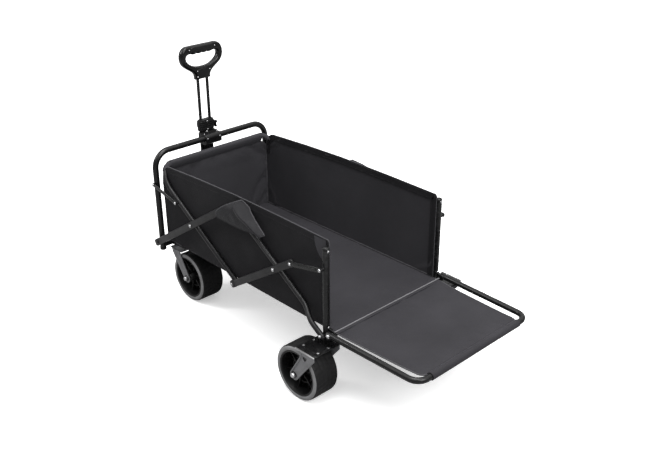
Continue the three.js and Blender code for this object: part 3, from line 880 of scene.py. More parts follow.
# ---- wheels ---------------------------------------------------------------------------
WHEEL_R = 0.092
HALF_WHEEL = 0.046
RIM_R = 0.0736
RIM_LIP = 0.0762  # where the grey side ring begins
SPOKES = 6
TREAD_BLOCKS = 32
TYRE_STEPS = 6 * TREAD_BLOCKS  # points around the tyre


def tread(angle, r, y):
    """Shallow grooves across and around the tread, worn smooth at the shoulders."""
    if r < WHEEL_R - 0.0008:
        return 0.0
    across = math.cos(TREAD_BLOCKS * angle + 90 * abs(y))
    around = math.cos(2 * math.pi * y / 0.0165)
    return -0.0020 * max(0.0, across - 0.45) - 0.0030 * max(0.0, around - 0.7)


def turned(hub, profile, n):
    """A turned ring about a wheel's hub; the profile's distances are from the wheel's middle."""
    return lathe([(r, w + hub.y) for r, w in profile], hub.x, hub.z, 1, n, True)


def other_side(profile):
    """The rest of a turned loop: its (radius, distance) points mirrored about the wheel's middle."""
    return [(r, -w) for r, w in reversed(profile)]


def tyre(name, hub, cad_name):
    """From the bead round the tread to the other bead; the side rings are grey."""
    shoulder = [(WHEEL_R - 0.009 + 0.009 * math.sin(a), HALF_WHEEL - 0.011 + 0.011 * math.cos(a))
                for a in np.linspace(0.12, math.pi / 2, 8)]
    grey_part = [(RIM_R + 0.0004, HALF_WHEEL - 0.003), (RIM_LIP, HALF_WHEEL - 0.0016),
                 (RIM_LIP + 0.0016, HALF_WHEEL), (WHEEL_R - 0.0125, HALF_WHEEL + 0.0002)]
    outer = grey_part + shoulder
    tread_half = HALF_WHEEL - 0.013
    across = [(WHEEL_R, w) for w in np.linspace(tread_half, -tread_half, 28)]
    loop = outer + across + other_side(outer)
    wave = lambda a, r, y: tread(a, r, y - hub.y)
    piece = Piece(lathe([(r, w + hub.y) for r, w in loop], hub.x, hub.z, 1, TYRE_STEPS, True, wave))
    # the first bands of faces are grey, and as many on the other side; the last band joins the two beads
    bands, grey_bands = len(loop), len(outer) - 5
    is_grey = [k < grey_bands or k >= bands - 1 - grey_bands for k in range(bands)]
    piece.slots = [int(value) for value in is_grey for _ in range(TYRE_STEPS)]
    piece.make(f"{name}_tyre", [TREAD, SIDEWALL], name, cad_name, "tyre")


def wheel_rim(name, hub, cad_name):
    """Barrel, hub, inner ring, and spokes with a rib on each and a web between them."""
    flat = HALF_WHEEL
    barrel = [(RIM_LIP - 0.0002, -flat + 0.0024), (RIM_LIP - 0.0010, -flat + 0.0008),
              (RIM_R - 0.003, -flat + 0.002), (RIM_R - 0.0055, -flat + 0.008), (RIM_R - 0.0065, -0.012)]
    centre = [(0.0055, -flat + 0.003), (0.014, -flat + 0.003), (0.0155, -flat + 0.005), (0.0175, -0.014),
              (0.023, -0.010)]
    inner = [(0.0394, -0.0185), (0.0426, -0.0185)]
    piece = Piece()
    for profile, steps in ((barrel, 96), (centre, 48), (inner, 72)):
        piece.add(turned(hub, profile + other_side(profile), steps))
    for k in range(SPOKES):
        for half_step, r0, half_width, half_depth, bevel in (
            (0, 0.020, 0.010, 0.0105, 0.003),
            (0, 0.018, 0.024, 0.0022, 0.0012),
            (1, 0.041, 0.012, 0.0013, 0.0008),
        ):
            angle = (2 * k + half_step) * math.pi / SPOKES + 0.3
            turn = Matrix.Translation(hub) @ Matrix.Rotation(-angle, 4, "Y")
            low, high = (r0, -half_width, -half_depth), (RIM_R - 0.005, half_width, half_depth)
            piece.add(block(low, high, bevel, turn))
    piece.make(f"{name}_rim", [RIM], name, cad_name, "rim")


def wheels():
    for side, _ in SIDES:
        for end in ("front", "rear"):
            hub = PIVOTS[f"{end}_wheel_spin_{side}"]
            tyre(f"{end}_wheel_{side}", hub, f"{end}_tyre_{side}")
            wheel_rim(f"{end}_wheel_{side}", hub, f"{end}_rim_{side}")


def axle(name, hub, s, head_y, tail_y, body):
    """Axle bolt: a bright domed nut outside, a hexagon head inside, and the shank between them."""
    bolt = Piece(disc(hub, s, 0.005, tail_y, head_y + 0.001))
    bolt.add(disc(hub, s, 0.0115, head_y - 0.0002, head_y + 0.0014, 40), 1)
    nut = ((0, 0.001), (0.0082, 0.001), (0.0082, 0.0050), (0.0078, 0.0072), (0.0064, 0.0092),
           (0.0036, 0.0104), (0, 0.0108))
    bolt.add(lathe([(r, head_y + h) for r, h in nut], hub.x, hub.z, s, 40))
    bolt.add(disc(hub, s, 0.008, tail_y - 0.0002, tail_y + 0.0044, 6))
    bolt.make(f"{name}_bolt", [BRIGHT, PAINT], body, name, "bolt", HEXAGON)


AXLE_HOLE_R = 0.0053
FORK_ARMS = ((0.22035, 1), (0.11815, -1))  # middle of each arm, and the side its ribs are on
FORK_THICK = 0.0033
CROWN_IN, CROWN_OUT = 0.1165, 0.222  # edges of the fork's crown plate
CROWN_STRIPS = ((CROWN_IN + 0.018, CROWN_IN + 0.024), (CROWN_OUT - 0.024, CROWN_OUT - 0.018))
BRACKET_OUT, BRACKET_IN = 0.337, 0.233  # middles of the rear bracket's arms
BRACKET_THICK = 0.003
PLATE_BEVEL = 0.0007


def line_at(y, points):
    """A line of (x, z) points at the level y."""
    return [Vector((a, y, b)) for a, b in points]


def fork_arms(fork, s, hub, crown):
    """Two stamped arms from the crown to the hub, each with two ribs."""
    top_front, top_rear = FRONT.x + 0.014, FRONT.x + 0.064
    outline = [(top_front, crown), (top_rear, crown), (top_rear + 0.002, crown - 0.014)]
    outline += arc(hub.x, hub.z, 0.017, 17, -155, 18) + [(top_front + 0.004, crown - 0.016)]
    for y, out in FORK_ARMS:
        outlines = [outline, hole(hub.x, hub.z, AXLE_HOLE_R)]
        fork.add(stamped(outlines, FORK_THICK, PLATE_BEVEL, "Y", s * y))
        for start_x, foot_x, r0, r1 in ((top_front + 0.012, hub.x - 0.0055, 0.0075, 0.0042),
                                        (top_rear - 0.010, hub.x + 0.0065, 0.0060, 0.0036)):
            start_z, foot_z = crown - 0.003, hub.z + 0.012
            mid = ((start_x + foot_x) / 2 - 0.002, (start_z + foot_z) / 2)
            line = line_at(s * (y + out * 0.0016), ((start_x, start_z), mid, (foot_x, foot_z)))
            fork.add(rib(line, r0, r1, 0.0028))


def caster_forks():
    for side, s in SIDES:
        king, hub = PIVOTS[f"caster_swivel_{side}"], PIVOTS[f"front_wheel_spin_{side}"]
        low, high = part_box(f"caster_fork_{side}")
        crown = low.z + 0.1161  # height of the fork from the underside of its hub eye
        fork = Piece()
        fork_arms(fork, s, hub, crown)
        rear, front = FRONT.x + 0.074, FRONT.x + 0.006
        fork.add(block((front, s * CROWN_IN, crown - 0.0035), (rear, s * CROWN_OUT, crown), 0.0009))
        for a, b in CROWN_STRIPS:
            corner = (front - 0.0005, s * a, crown - 0.006)
            fork.add(block(corner, (rear - 0.02, s * b, crown - 0.002), 0.001))
        fork.add(cylinder(king.x, king.y, 0.008, crown - 0.001, high.z - 0.004), 1)
        fork.add(cylinder(king.x, king.y, 0.0118, high.z - 0.0048, high.z, 6), 1)
        fork.add(cylinder(king.x, king.y, 0.019, crown - 0.0005, crown + 0.0004, 32), 1)
        fork.make(f"fork_{side}", [BRACKET, ZINC], f"caster_{side}", f"caster_fork_{side}", "bracket")
        axle(f"front_axle_{side}", hub, s, 0.2223, 0.1120, f"caster_{side}")


def wheel_arms(side, s, hub, top):
    """Two stamped arms, the outer one with an arched opening and two ribs, and a bright strip along its top
    edge as a painted highlight.
    """
    near, end = REAR.x - 0.019, REAR.x + 0.041
    outline = [(near, top - 0.0003), (end, top - 0.0003), (end, top - 0.0162), (REAR.x - 0.002, 0.124)]
    outline += arc(hub.x, hub.z, 0.0185, -28.6, -185.7, 18) + [(REAR.x - 0.023, 0.167), (near, 0.184)]
    arch = [(REAR.x - 0.009, top - 0.0162)] + arc(REAR.x, top - 0.0222, 0.009, 180, 360, 10)
    arch += [(REAR.x + 0.009, top - 0.0162)]
    axle_hole = hole(hub.x, hub.z, AXLE_HOLE_R)
    arms = Piece(stamped([outline, axle_hole, arch], BRACKET_THICK, PLATE_BEVEL, "Y", s * BRACKET_OUT),
                 stamped([outline, axle_hole], BRACKET_THICK, PLATE_BEVEL, "Y", s * BRACKET_IN))
    near_rib = ((near + 0.005, top - 0.012), (REAR.x - 0.019, 0.164), (hub.x - 0.011, hub.z + 0.006))
    far_rib = ((end - 0.005, top - 0.018), (REAR.x, 0.130), (hub.x + 0.016, hub.z - 0.002))
    face = s * (BRACKET_OUT + BRACKET_THICK / 2)
    arms.add(rib(line_at(face, near_rib), 0.0030, 0.0028, 0.0028))
    arms.add(rib(line_at(face, far_rib), 0.0026, 0.0026, 0.0026))
    # a bright metal strip on the outer arm's top edge: a painted highlight along that edge
    low, high = (REAR.x - 0.0415, s * 0.3352, top - 0.0036), (REAR.x + 0.0415, s * 0.3396, top + 0.0002)
    arms.add(block(low, high, 0.0009), 1)
    arms.make(f"wheel_arm_{side}", [BRACKET, EDGE_HIGHLIGHT], "rear_frame", f"rear_bracket_{side}", "bracket")


def wheel_plate(side, s, top):
    """The painted plate on top of the arms, with a raised middle and four screws."""
    x0, x1 = REAR.x - 0.041, REAR.x + 0.041
    raised = (x0 + 0.012, s * 0.262, top - 0.0005), (x1 - 0.012, s * 0.322, top + 0.0016)
    plate = Piece(block((x0, s * 0.2316, top - 0.0036), (x1, s * 0.3350, top), 0.0009))
    plate.add(block(*raised, 0.0012))
    for x in (x0 + 0.010, x1 - 0.010):
        for y in (0.270, 0.312):
            plate.add(button(x, s * y, top, 0.0046, 0.0028), 1)
    plate.make(f"wheel_plate_{side}", [PAINT, BRIGHT], "rear_frame", None, "frame", PRESSED)


def gate_lug(side, s):
    pin = GATE_PIN
    back = REAR.x + 0.0112
    outline = [(back, pin.z - 0.011), (pin.x, pin.z - 0.011)] + arc(pin.x, pin.z, 0.010, -90, 90)
    lug = Piece(stamped([outline + [(back, pin.z + 0.011)]], 0.004, 0.0008, "Y", s * 0.2475))
    lug.add(disc(pin, s, 0.004, 0.249, 0.272, 20), 1)
    lug.add(dome_head(pin, 0.2706, s, 0.0062, 0.003, 0.0012), 1)
    lug.make(f"gate_hinge_lug_{side}", [PAINT, BRIGHT], "rear_frame", f"gate_hinge_{side}", "bracket")


def rear_brackets():
    for side, s in SIDES:
        hub = PIVOTS[f"rear_wheel_spin_{side}"]
        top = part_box(f"rear_bracket_{side}")[1].z
        wheel_arms(side, s, hub, top)
        wheel_plate(side, s, top)
        axle(f"rear_axle_{side}", hub, s, 0.3388, 0.2266, "rear_frame")
        gate_lug(side, s)


# ---- tailgate -------------------------------------------------------------------------
GATE_R, GATE_BEND = 0.0095, 0.038
GATE_NEAR, GATE_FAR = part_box("tailgate_panel")[1].y, 0.217  # half widths at the hinge and the end tube


def gate_half(x, x0, x1):
    """Half width of the tailgate's cloth at x: it narrows to the end tube, with rounded corners."""
    corner = x1 - 0.036
    if x < corner:
        return GATE_NEAR + (GATE_FAR - GATE_NEAR) * (x - x0) / (corner - x0)
    t = (x - corner) / (x1 - corner)
    return GATE_FAR - 0.017 * (1 - math.sqrt(max(0.0, 1 - t * t)))


def tailgate():
    low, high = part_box("tailgate_tube")
    end_x, end_z = high.x - GATE_R, low.z + GATE_R
    hinge_x = GATE_PIN.x - GATE_R
    hinge_half, end_half = 0.2605, 0.250
    corners = [(hinge_x, -hinge_half, GATE_PIN.z), (end_x, -end_half, end_z), (end_x, end_half, end_z),
               (hinge_x, hinge_half, GATE_PIN.z)]
    gate = Piece(tube(fillet(corners, GATE_BEND, 10), GATE_R, 26, 0.3))
    gate.make("tailgate_frame", [PAINT], "tailgate", "tailgate_tube", "frame")
    gate_cloth(end_x, end_z)
    hinge_cloth()


def gate_cloth(end_x, end_z):
    """The panel, its fold round the end tube, and its bound and stitched edges."""
    low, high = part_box("tailgate_panel")
    z, x0, x1 = (low.z + high.z) / 2, low.x, high.x
    nu, nv = 50, 60
    xs = np.linspace(x0, x1, nu)
    halves = [gate_half(x, x0, x1) for x in xs]
    grid = np.array([[(x, y, z) for y in np.linspace(-half, half, nv)] for x, half in zip(xs, halves)])
    settled = settle(grid, ends_held(nu, nv), push=-0.35, cap=0.005, spare=0.004, seed=3.0)
    settled[:, :, 1] = grid[:, :, 1] + 0.3 * (settled[:, :, 1] - grid[:, :, 1])
    wrap = [(x1 - 0.004, z + 0.0004)] + arc(end_x, end_z, GATE_R + 0.0016, 118, -118, 22)
    wrap += [(x1 - 0.010, z - 0.0058), (x1 - 0.030, z - 0.0026)]
    wrap_ys = np.linspace(-halves[-1], halves[-1], 24)
    panel = Piece(sheet(settled, 0.0024), sheet([[(a, y, c) for y in wrap_ys] for a, c in wrap], 0.0020))
    for s, column in ((-1, 0), (1, -1)):
        rim_line = [(x, s * half, row[column, 2]) for x, half, row in zip(xs, halves, settled)]
        panel.add(tube(rim_line, 0.0021, 10), 1)
        for distance in (0.006, 0.017):
            panel.add(stitches([(x, y - s * distance, h + 0.0014) for x, y, h in rim_line], (0, 0, 1)), 2)
    for x in (x0 + 0.016, x1 - 0.012):
        row = settled[int(round((x - x0) / (x1 - x0) * (nu - 1)))]
        half = gate_half(x, x0, x1) - 0.006
        ys = np.linspace(-half, half, 40)
        heights = np.interp(ys, row[:, 1], row[:, 2]) + 0.0014
        panel.add(stitches([(x, y, h) for y, h in zip(ys, heights)], (0, 0, 1)), 2)
    looks = [CLOTH_FLOOR, BINDING, THREAD]
    panel.make("tailgate_cloth", looks, "tailgate", "tailgate_panel", "fabric")


def hinge_cloth():
    """The strip of cloth that turns over the tailgate's hinge, with its light binding."""
    gate_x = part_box("tailgate_panel")[0].x
    xs = np.linspace(BED_REAR - 0.004, gate_x + 0.022, 22)
    rise = np.interp(xs, (xs[0], GATE_PIN.x, xs[-1]), (0.0008, 0.0012, -0.0004))
    strip = [[(x, y, FLOOR_Z + h) for y in np.linspace(-0.232, 0.232, 40)] for x, h in zip(xs, rise)]
    crease = Piece(sheet(strip, 0.0010))
    line = [(GATE_PIN.x - 0.002, y, FLOOR_Z + 0.0022) for y in np.linspace(-0.238, 0.238, 40)]
    crease.add(tube(line, 0.0021, 10), 1)
    band = crease.make("hinge_cloth", [CLOTH_FLOOR, HINGE_BINDING], None, None, "fabric")
    start, end = (BED_REAR + 0.004, 0, FLOOR_Z), (gate_x + 0.026, 0, FLOOR_Z)
    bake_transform(band)
    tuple(start)
    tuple(end)


# ---- bed ------------------------------------------------------------------------------
RIM_POINTS = ((0.070, 0.5225), (0.250, 0.530), (0.435, 0.534), (0.660, 0.532), (0.880, 0.527))
FRONT_CUT = 0.446  # height of the side's front edge
HEM = 0.024
SIDE_REAR = REAR.x + 0.001
SIDE_BOTTOM = FLOOR_Z - 0.001


def rim_height(x):
    """Height of a side's rim at x, measured from the front posts."""
    xs, zs = zip(*RIM_POINTS)
    z = float(np.interp(x, xs, zs))
    start = BED_FRONT - FRONT.x
    if x < xs[0]:
        t = (xs[0] - x) / (xs[0] - start)
        z = FRONT_CUT + (zs[0] - FRONT_CUT) * math.sqrt(max(0.0, 1 - t * t))
    corner = 0.006
    over = x - (SIDE_REAR - FRONT.x - corner)
    if over > 0:
        z -= corner - math.sqrt(max(0.0, corner * corner - over * over))
    return z


def heights(low, high, n):
    return low + (high - low) * np.linspace(0, 1, n)


def between(line, other, t):
    """The points at share t of the way from one line of (x, z) to another."""
    return [(a[0] + (b[0] - a[0]) * t, a[1] + (b[1] - a[1]) * t) for a, b in zip(line, other)]


def side_sheet(s, rim):
    """The side's cloth: it bellies inwards, away from the bars; its inner face takes a lighter copy of the
    cloth than its outer face, as painted light and shade.
    """
    nu, nv = len(rim), 40
    grid = np.array([[(x, s * SIDE_Y, z) for z in heights(SIDE_BOTTOM, top, nv)] for x, top in rim])
    if s > 0:
        grid = grid[:, ::-1]
    settled = settle(grid, edges_held(nu, nv), push=0.5, cap=0.007, spare=0.010, seed=1.0 + s)
    settled[:, :, 0] = grid[:, :, 0] + 0.2 * (settled[:, :, 0] - grid[:, :, 0])
    if s > 0:
        settled = settled[:, ::-1]
    settled[:, :, 1] = s * np.minimum(s * settled[:, :, 1], SIDE_Y + 0.0004)
    p = Piece(sheet(settled, PANEL_THICK))
    # the sheet's faces lie in pairs, one on each of its two sides
    # the outer faces get the dark shaded copy and the inner faces the lighter lit copy: painted shade
    # outside, painted light inside
    pair = [0, 4] if s > 0 else [4, 0]
    count = (nu - 1) * (nv - 1)
    p.slots[:2 * count] = pair * count
    return p


def side_hems(p, s, rim):
    """Hems along the rim and up the rear edge, inside the post, with piping, and the bottom seam."""
    inner = inset(rim, HEM)
    rear_top = rim[-1][1]
    hem_y = s * (SIDE_Y - 0.0006)
    bands = [between(rim, inner, t) for t in np.linspace(0, 1, 5)]
    p.add(sheet([[(x, hem_y, z) for x, z in column] for column in zip(*bands)], 0.0042))
    p.add(tube([(x, s * SIDE_Y, z) for x, z in rim], 0.0016, 10), 1)
    hem_xs = np.linspace(SIDE_REAR - 0.022, SIDE_REAR, 4)
    hem_low = SIDE_BOTTOM + 0.002
    p.add(sheet([[(x, hem_y, z) for x in hem_xs] for z in heights(hem_low, rear_top, 30)], 0.0040))
    p.add(tube([(SIDE_REAR, s * SIDE_Y, z) for z in heights(hem_low, rear_top, 20)], 0.0015, 10), 1)
    p.add(tube([(x, s * (SIDE_Y - 0.0008), hem_low) for x, _ in rim], 0.0018, 10), 1)
    for face in (-1, 1):
        y, out = hem_y + s * face * 0.0023, (0, face * s, 0)
        for share in (0.16, 0.84):
            p.add(stitches([(x, y, z) for x, z in between(rim, inner, share)], out), 2)
        if face < 0:
            for x in (SIDE_REAR - 0.004, SIDE_REAR - 0.018):
                zs = heights(SIDE_BOTTOM + 0.01, rear_top - 0.02, 20)
                p.add(stitches([(x, y, z) for z in zs], out), 2)


def corner_patch(p, s):
    """A bound patch in the side's rear upper corner, on the outside."""
    px, pz = REAR.x - POST_R - 0.0006, rim_height(REAR.x - POST_R - FRONT.x) - 0.003
    patch = [[(px - 0.048 * k * math.cos(a), s * (SIDE_Y + 0.0015), pz - 0.070 * k * math.sin(a))
              for k in np.linspace(0.02, 1, 10)] for a in np.linspace(0.02, math.pi / 2, 22)]
    p.add(sheet(patch, 0.0010), 3)
    p.add(tube([(q[-1][0], s * (SIDE_Y + 0.0008), q[-1][2]) for q in patch], 0.0012, 8), 1)


def bed_side(side, s):
    ease = np.linspace(0, 1, 100)
    ease = ease - 0.6 * np.sin(2 * np.pi * ease) / (2 * np.pi)  # finer columns near both ends
    xs = BED_FRONT + (SIDE_REAR - BED_FRONT) * ease
    rim = [(x, rim_height(x - FRONT.x)) for x in xs]
    p = side_sheet(s, rim)
    side_hems(p, s, rim)
    corner_patch(p, s)
    looks = [CLOTH, BINDING, THREAD, LIT_CLOTH, SIDE_INNER_LIT_CLOTH]
    obj = p.make(f"bed_side_cloth_{side}", looks, "front_frame", f"bed_side_{side}", "fabric")
    squash_with_fold(obj)


def bed_floor():
    low, high = FLOOR_BOX
    nu, nv = 90, 50
    xs = np.linspace(low.x, BED_REAR, nu)
    ys = np.linspace(low.y + 0.0006, high.y - 0.0006, nv)
    grid = np.array([[(x, y, FLOOR_Z - 0.0014) for y in ys] for x in xs])
    # the floor also rests on the bar across its middle
    bar_low, bar_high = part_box("floor_cross_bar")
    held = edges_held(nu, nv)
    held[np.abs(xs - (bar_low.x + bar_high.x) / 2) < 0.055, :] = 1
    settled = settle(grid, held, push=-0.25, cap=0.0035, spare=0.003, seed=7.0)
    p = Piece(sheet(settled, 0.0026))
    # piping along the floor's side edges in the dark shaded copy of the cloth: painted shade where the
    # floor meets the sides
    for y in (ys[0] + 0.002, ys[-1] - 0.002):
        p.add(tube([(x, y, FLOOR_Z + 0.0008) for x in xs], 0.0017, 8), 1)
    obj = p.make("bed_floor_cloth", [CLOTH_FLOOR, CLOTH], "front_frame", "bed_floor", "fabric")
    squash_with_fold(obj)


def bed_front(hem_at):
    """The front panel: it leans over to the hem, and its upper edge is tucked into the hem's sleeve."""
    low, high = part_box("bed_front")
    x, half = (low.x + high.x) / 2, high.y
    top_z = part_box("front_hem_sleeve")[0].z + 0.010
    nu, nv = 60, 40
    corner = 0.034

    def top(y):
        over = max(abs(y) - (half - corner), 0.0)
        return top_z - corner + math.sqrt(max(0.0, corner ** 2 - over ** 2))

    def lean(z):
        return x + (hem_at.x - x) * smooth((z - top_z + 0.070) / 0.066)

    ys = half * np.sin(np.linspace(-math.pi / 2, math.pi / 2, nu))
    grid = np.array([[(lean(z), y, z) for z in heights(low.z, top(y), nv)] for y in ys])
    settled = settle(grid, edges_held(nu, nv), push=0.4, cap=0.006, spare=0.010, seed=11.0)
    p = Piece(sheet(settled, PANEL_THICK))
    for y in (-half + 0.001, half - 0.001):
        p.add(tube([(x + 0.001, y, z) for z in heights(low.z + 0.002, top(y), 16)], 0.0022, 10), 1)
    for out in (-1, 1):
        for drop in (0.010, 0.014):
            zs = [top(y) - drop for y in ys]
            row = [(lean(z) + out * 0.0014, y * 0.97, z) for y, z in zip(ys, zs)]
            p.add(stitches(row, (out, 0, 0)), 2)
    # the front panel takes the lighter lit copy of the cloth: painted light on its inner face
    obj = p.make("bed_front_cloth", [LIT_CLOTH, BINDING, THREAD], None, "bed_front", "fabric")
    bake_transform(obj)


def front_hem(at):
    """The hem's sleeve round bar B's cross tube, pinched together below it."""
    low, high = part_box("front_hem_sleeve")
    wall, pinch = 0.0016, 0.0038
    r = at.x - low.x - 0.0006
    drop = high.z - low.z - 2 * r - 0.001
    loop = arc(at.x, at.z, r, 0, 180, 14)
    side = [(r - (r - pinch) * t * t, at.z - drop * t) for t in np.linspace(0.15, 1, 8)]
    loop += [(at.x - a, z) for a, z in side] + [(at.x + a, z) for a, z in reversed(side)]
    middle_z = at.z - drop / 2
    ys = np.linspace(low.y, high.y, 40)

    def ring(y, inwards):
        points = []
        for a, c in loop:
            k = 1 - inwards / math.hypot(a - at.x, c - middle_z)
            sag = 0.0006 * noise.noise(Vector((y * 30, 4.0, 0)))
            points.append((at.x + (a - at.x) * k, y, middle_z + (c - middle_z) * k + sag))
        return points

    sleeve = Piece(skin([ring(y, 0.0) for y in ys] + [ring(y, wall) for y in reversed(ys)], True))
    for out in (-1, 1):
        row = [(at.x + out * (r * 0.55 + 0.0005), y, at.z - drop * 0.72) for y in ys]
        sleeve.add(stitches(row, (out, 0, 0)), 1)
    # the sleeve takes the lighter lit copy of the cloth: painted light
    sleeve.make("front_hem_cloth", [LIT_CLOTH, THREAD], "front_hem", "front_hem_sleeve", "fabric")


# upper and lower edges of the covers, as (distance from the front posts, height)
COVER_TOP = (
    (0.383, 0.468), (0.390, 0.477), (0.412, 0.4945), (0.437, 0.5110), (0.456, 0.5215), (0.468, 0.5275),
    (0.478, 0.5285), (0.499, 0.5220), (0.524, 0.5115), (0.553, 0.5020), (0.575, 0.4920), (0.608, 0.4755),
    (0.622, 0.4670))
COVER_LOW = (
    (0.386, 0.460), (0.392, 0.4535), (0.410, 0.4530), (0.428, 0.4525), (0.445, 0.4525), (0.462, 0.4525),
    (0.478, 0.4525), (0.500, 0.4530), (0.520, 0.4540), (0.541, 0.4555), (0.563, 0.4570), (0.595, 0.4600),
    (0.616, 0.4620))
COVER_STEPS = 5  # between the points above
COVER_PEAK = 6  # the point where the covers' rear edge begins


def cover_point(p, side, rear_edge, t, run_share):
    """A cover's point p, moved out from the bed: flat on the rim, ridged beside the rear edge."""
    d = min((p - q).length for q in rear_edge)
    run = min(max((p.x - rear_edge[0].x) / (rear_edge[-1].x - rear_edge[0].x), 0.0), 1.0)
    ridge = 0.0115 * math.exp(-((d - 0.010) / 0.0085) ** 2)
    ridge *= 0.55 + 0.45 * math.sin(math.pi * (0.15 + 0.7 * run))
    fall = (0.036 - 0.028 * run) * max(0.0, 1 - d / 0.009) ** 1.4
    hang = 0.034 * max(0.0, (p.z - 0.495) / 0.0365) ** 2
    belly = 0.004 * math.sin(math.pi * t) * math.sin(math.pi * run_share)
    soft = 0.0008 * noise.noise(Vector((p.x * 40, side * 2.0, p.z * 40)))
    y = 0.2765 + ridge + belly + soft - hang - fall
    return FRONT.x + p.x, side * max(y, 0.2395), p.z


def joint_covers():
    """Covers that hang from the rim over the top middle joints, with a soft ridge down their rear edge."""
    top_line, low_line = (catmull([Vector((x, 0, z)) for x, z in line], COVER_STEPS)
                          for line in (COVER_TOP, COVER_LOW))
    rear_edge = top_line[COVER_PEAK * COVER_STEPS:]
    nu, nv = len(top_line), 26
    shares = [(j / (nv - 1)) ** 1.4 for j in range(nv)]
    for side, s in SIDES:
        grid = np.array([[cover_point(a.lerp(b, t), s, rear_edge, t, i / (nu - 1)) for t in shares]
                         for i, (a, b) in enumerate(zip(top_line, low_line))])
        p = Piece(sheet(grid if s > 0 else grid[:, ::-1], PANEL_THICK))
        p.add(tube(grid[:, 0], 0.0017, 10), 1)
        p.add(tube(grid[0], 0.0016, 10), 1)
        p.add(tube(grid[:, -1], 0.0015, 10), 0)
        row = [Vector(grid[i, 2]) + Vector((0, s * 0.0012, 0)) for i in range(2, nu // 2)]
        p.add(stitches(row, (0, s, 0)), 2)
        looks = [FLAP, BINDING, THREAD]
        obj = p.make(f"joint_cover_{side}", looks, None, f"joint_flap_{side}", "fabric")
        start, end = (TOP.x - 0.012, 0, TOP.z), (TOP.x + 0.075, 0, TOP.z)
        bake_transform(obj)
        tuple(start)
        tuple(end)


# ---- pull handle ----------------------------------------------------------------------
ROD_LOW, ROD_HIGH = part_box("handle_rod_right")
ROD_X, ROD_Y = (ROD_LOW.x + ROD_HIGH.x) / 2, (ROD_LOW.y + ROD_HIGH.y) / 2
ROD_R, BORE_R = 0.0056, 0.0058
HANDLE_PIN = PIVOTS["handle_pivot"]


def handle_bracket():
    low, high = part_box("handle_pivot_bracket")
    pin, back = HANDLE_PIN, FRONT.x - 0.0105
    corners = (FRONT.x - 0.014, -0.033, low.z), (FRONT.x - 0.0099, 0.033, high.z - 0.0015)
    bracket = Piece(block(*corners, 0.0008))
    ear = [(back, low.z + 0.0025), (pin.x, low.z + 0.0025)] + arc(pin.x, pin.z, 0.0088, -90, -270, 14)
    for s in (-1, 1):
        bracket.add(stamped([ear + [(back, high.z)]], 0.0038, 0.0008, "Y", s * 0.031))
        bracket.add(dome_head(pin, 0.0329, s, 0.0048, 0.0022, 0.0012), 1)
    bracket.add(disc(pin, 1, 0.005, -0.032, 0.032), 1)
    bracket.make("handle_bracket", [PAINT, BRIGHT], "front_frame", "handle_pivot_bracket", "frame", PRESSED)


def handle_tubes():
    """Two outer tubes joined by a foot plate with two lugs, and ribbed covers between them."""
    low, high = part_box("handle_outer_tubes")
    clip_low, clip_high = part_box("handle_clip")
    foot_z, lug_z = (low.z + 0.0105, low.z + 0.024), low.z + 0.014
    foot = [(y, z) for y, z in zip((-0.0285, -0.0285, 0.0285, 0.0285), foot_z + foot_z[::-1])]
    outer = Piece()
    for s in (-1, 1):
        outer.add(hollow_tube(ROD_X, s * ROD_Y, 0.0076, BORE_R, low.z + 0.021, high.z))
    outer.add(stamped([foot], 0.016, 0.002, "X", ROD_X))
    lug = [(ROD_X - 0.008, lug_z), (ROD_X - 0.008, low.z + 0.006)]
    lug += arc(HANDLE_PIN.x, HANDLE_PIN.z, 0.008, 180, 360, 14) + [(ROD_X + 0.008, lug_z)]
    for s in (-1, 1):
        outlines = [lug, hole(HANDLE_PIN.x, HANDLE_PIN.z, 0.0054, 20)]
        outer.add(stamped(outlines, 0.004, 0.0007, "Y", s * 0.0262))
    for z0, z1 in ((low.z + 0.024, clip_low.z - 0.002), (clip_high.z - 0.004, high.z + 0.002)):
        for y, half_width, half_depth, bevel in (
            (-0.0085, 0.0036, 0.0035, 0.001),
            (0, 0.0036, 0.0035, 0.001),
            (0.0085, 0.0036, 0.0035, 0.001),
            (0, 0.0135, 0.0020, 0.0006),
        ):
            corner = (ROD_X - half_depth, y - half_width, z0)
            outer.add(block(corner, (ROD_X + half_depth, y + half_width, z1), bevel), 1)
    outer.make("handle_tubes", [PAINT, PLASTIC], "handle", "handle_outer_tubes", "frame", PRESSED)
    for side, s in SIDES:
        rod = Piece(tube([(ROD_X, s * ROD_Y, ROD_LOW.z), (ROD_X, s * ROD_Y, ROD_HIGH.z)], ROD_R, 24, 0.2))
        rod.make(f"handle_slide_rod_{side}", [ROD], "handle_slider", f"handle_rod_{side}", "frame")


def clamp_layer(half_x, half_y, z0, z1, bevel=0.0012):
    """A flat layer of the clamp block, with rounded corners and both bores."""
    corner = min(half_x, 0.012) * 0.8
    loop = []
    for sx, sy, start in ((1, -1, -90), (1, 1, 0), (-1, 1, 90), (-1, -1, 180)):
        centre = (ROD_X + sx * (half_x - corner), sy * (half_y - corner))
        loop += arc(*centre, corner, start, start + 90, 6)
    bores = [hole(ROD_X, s * ROD_Y, BORE_R) for s in (-1, 1)]
    return stamped([loop] + bores, z1 - z0, bevel, "Z", (z0 + z1) / 2)


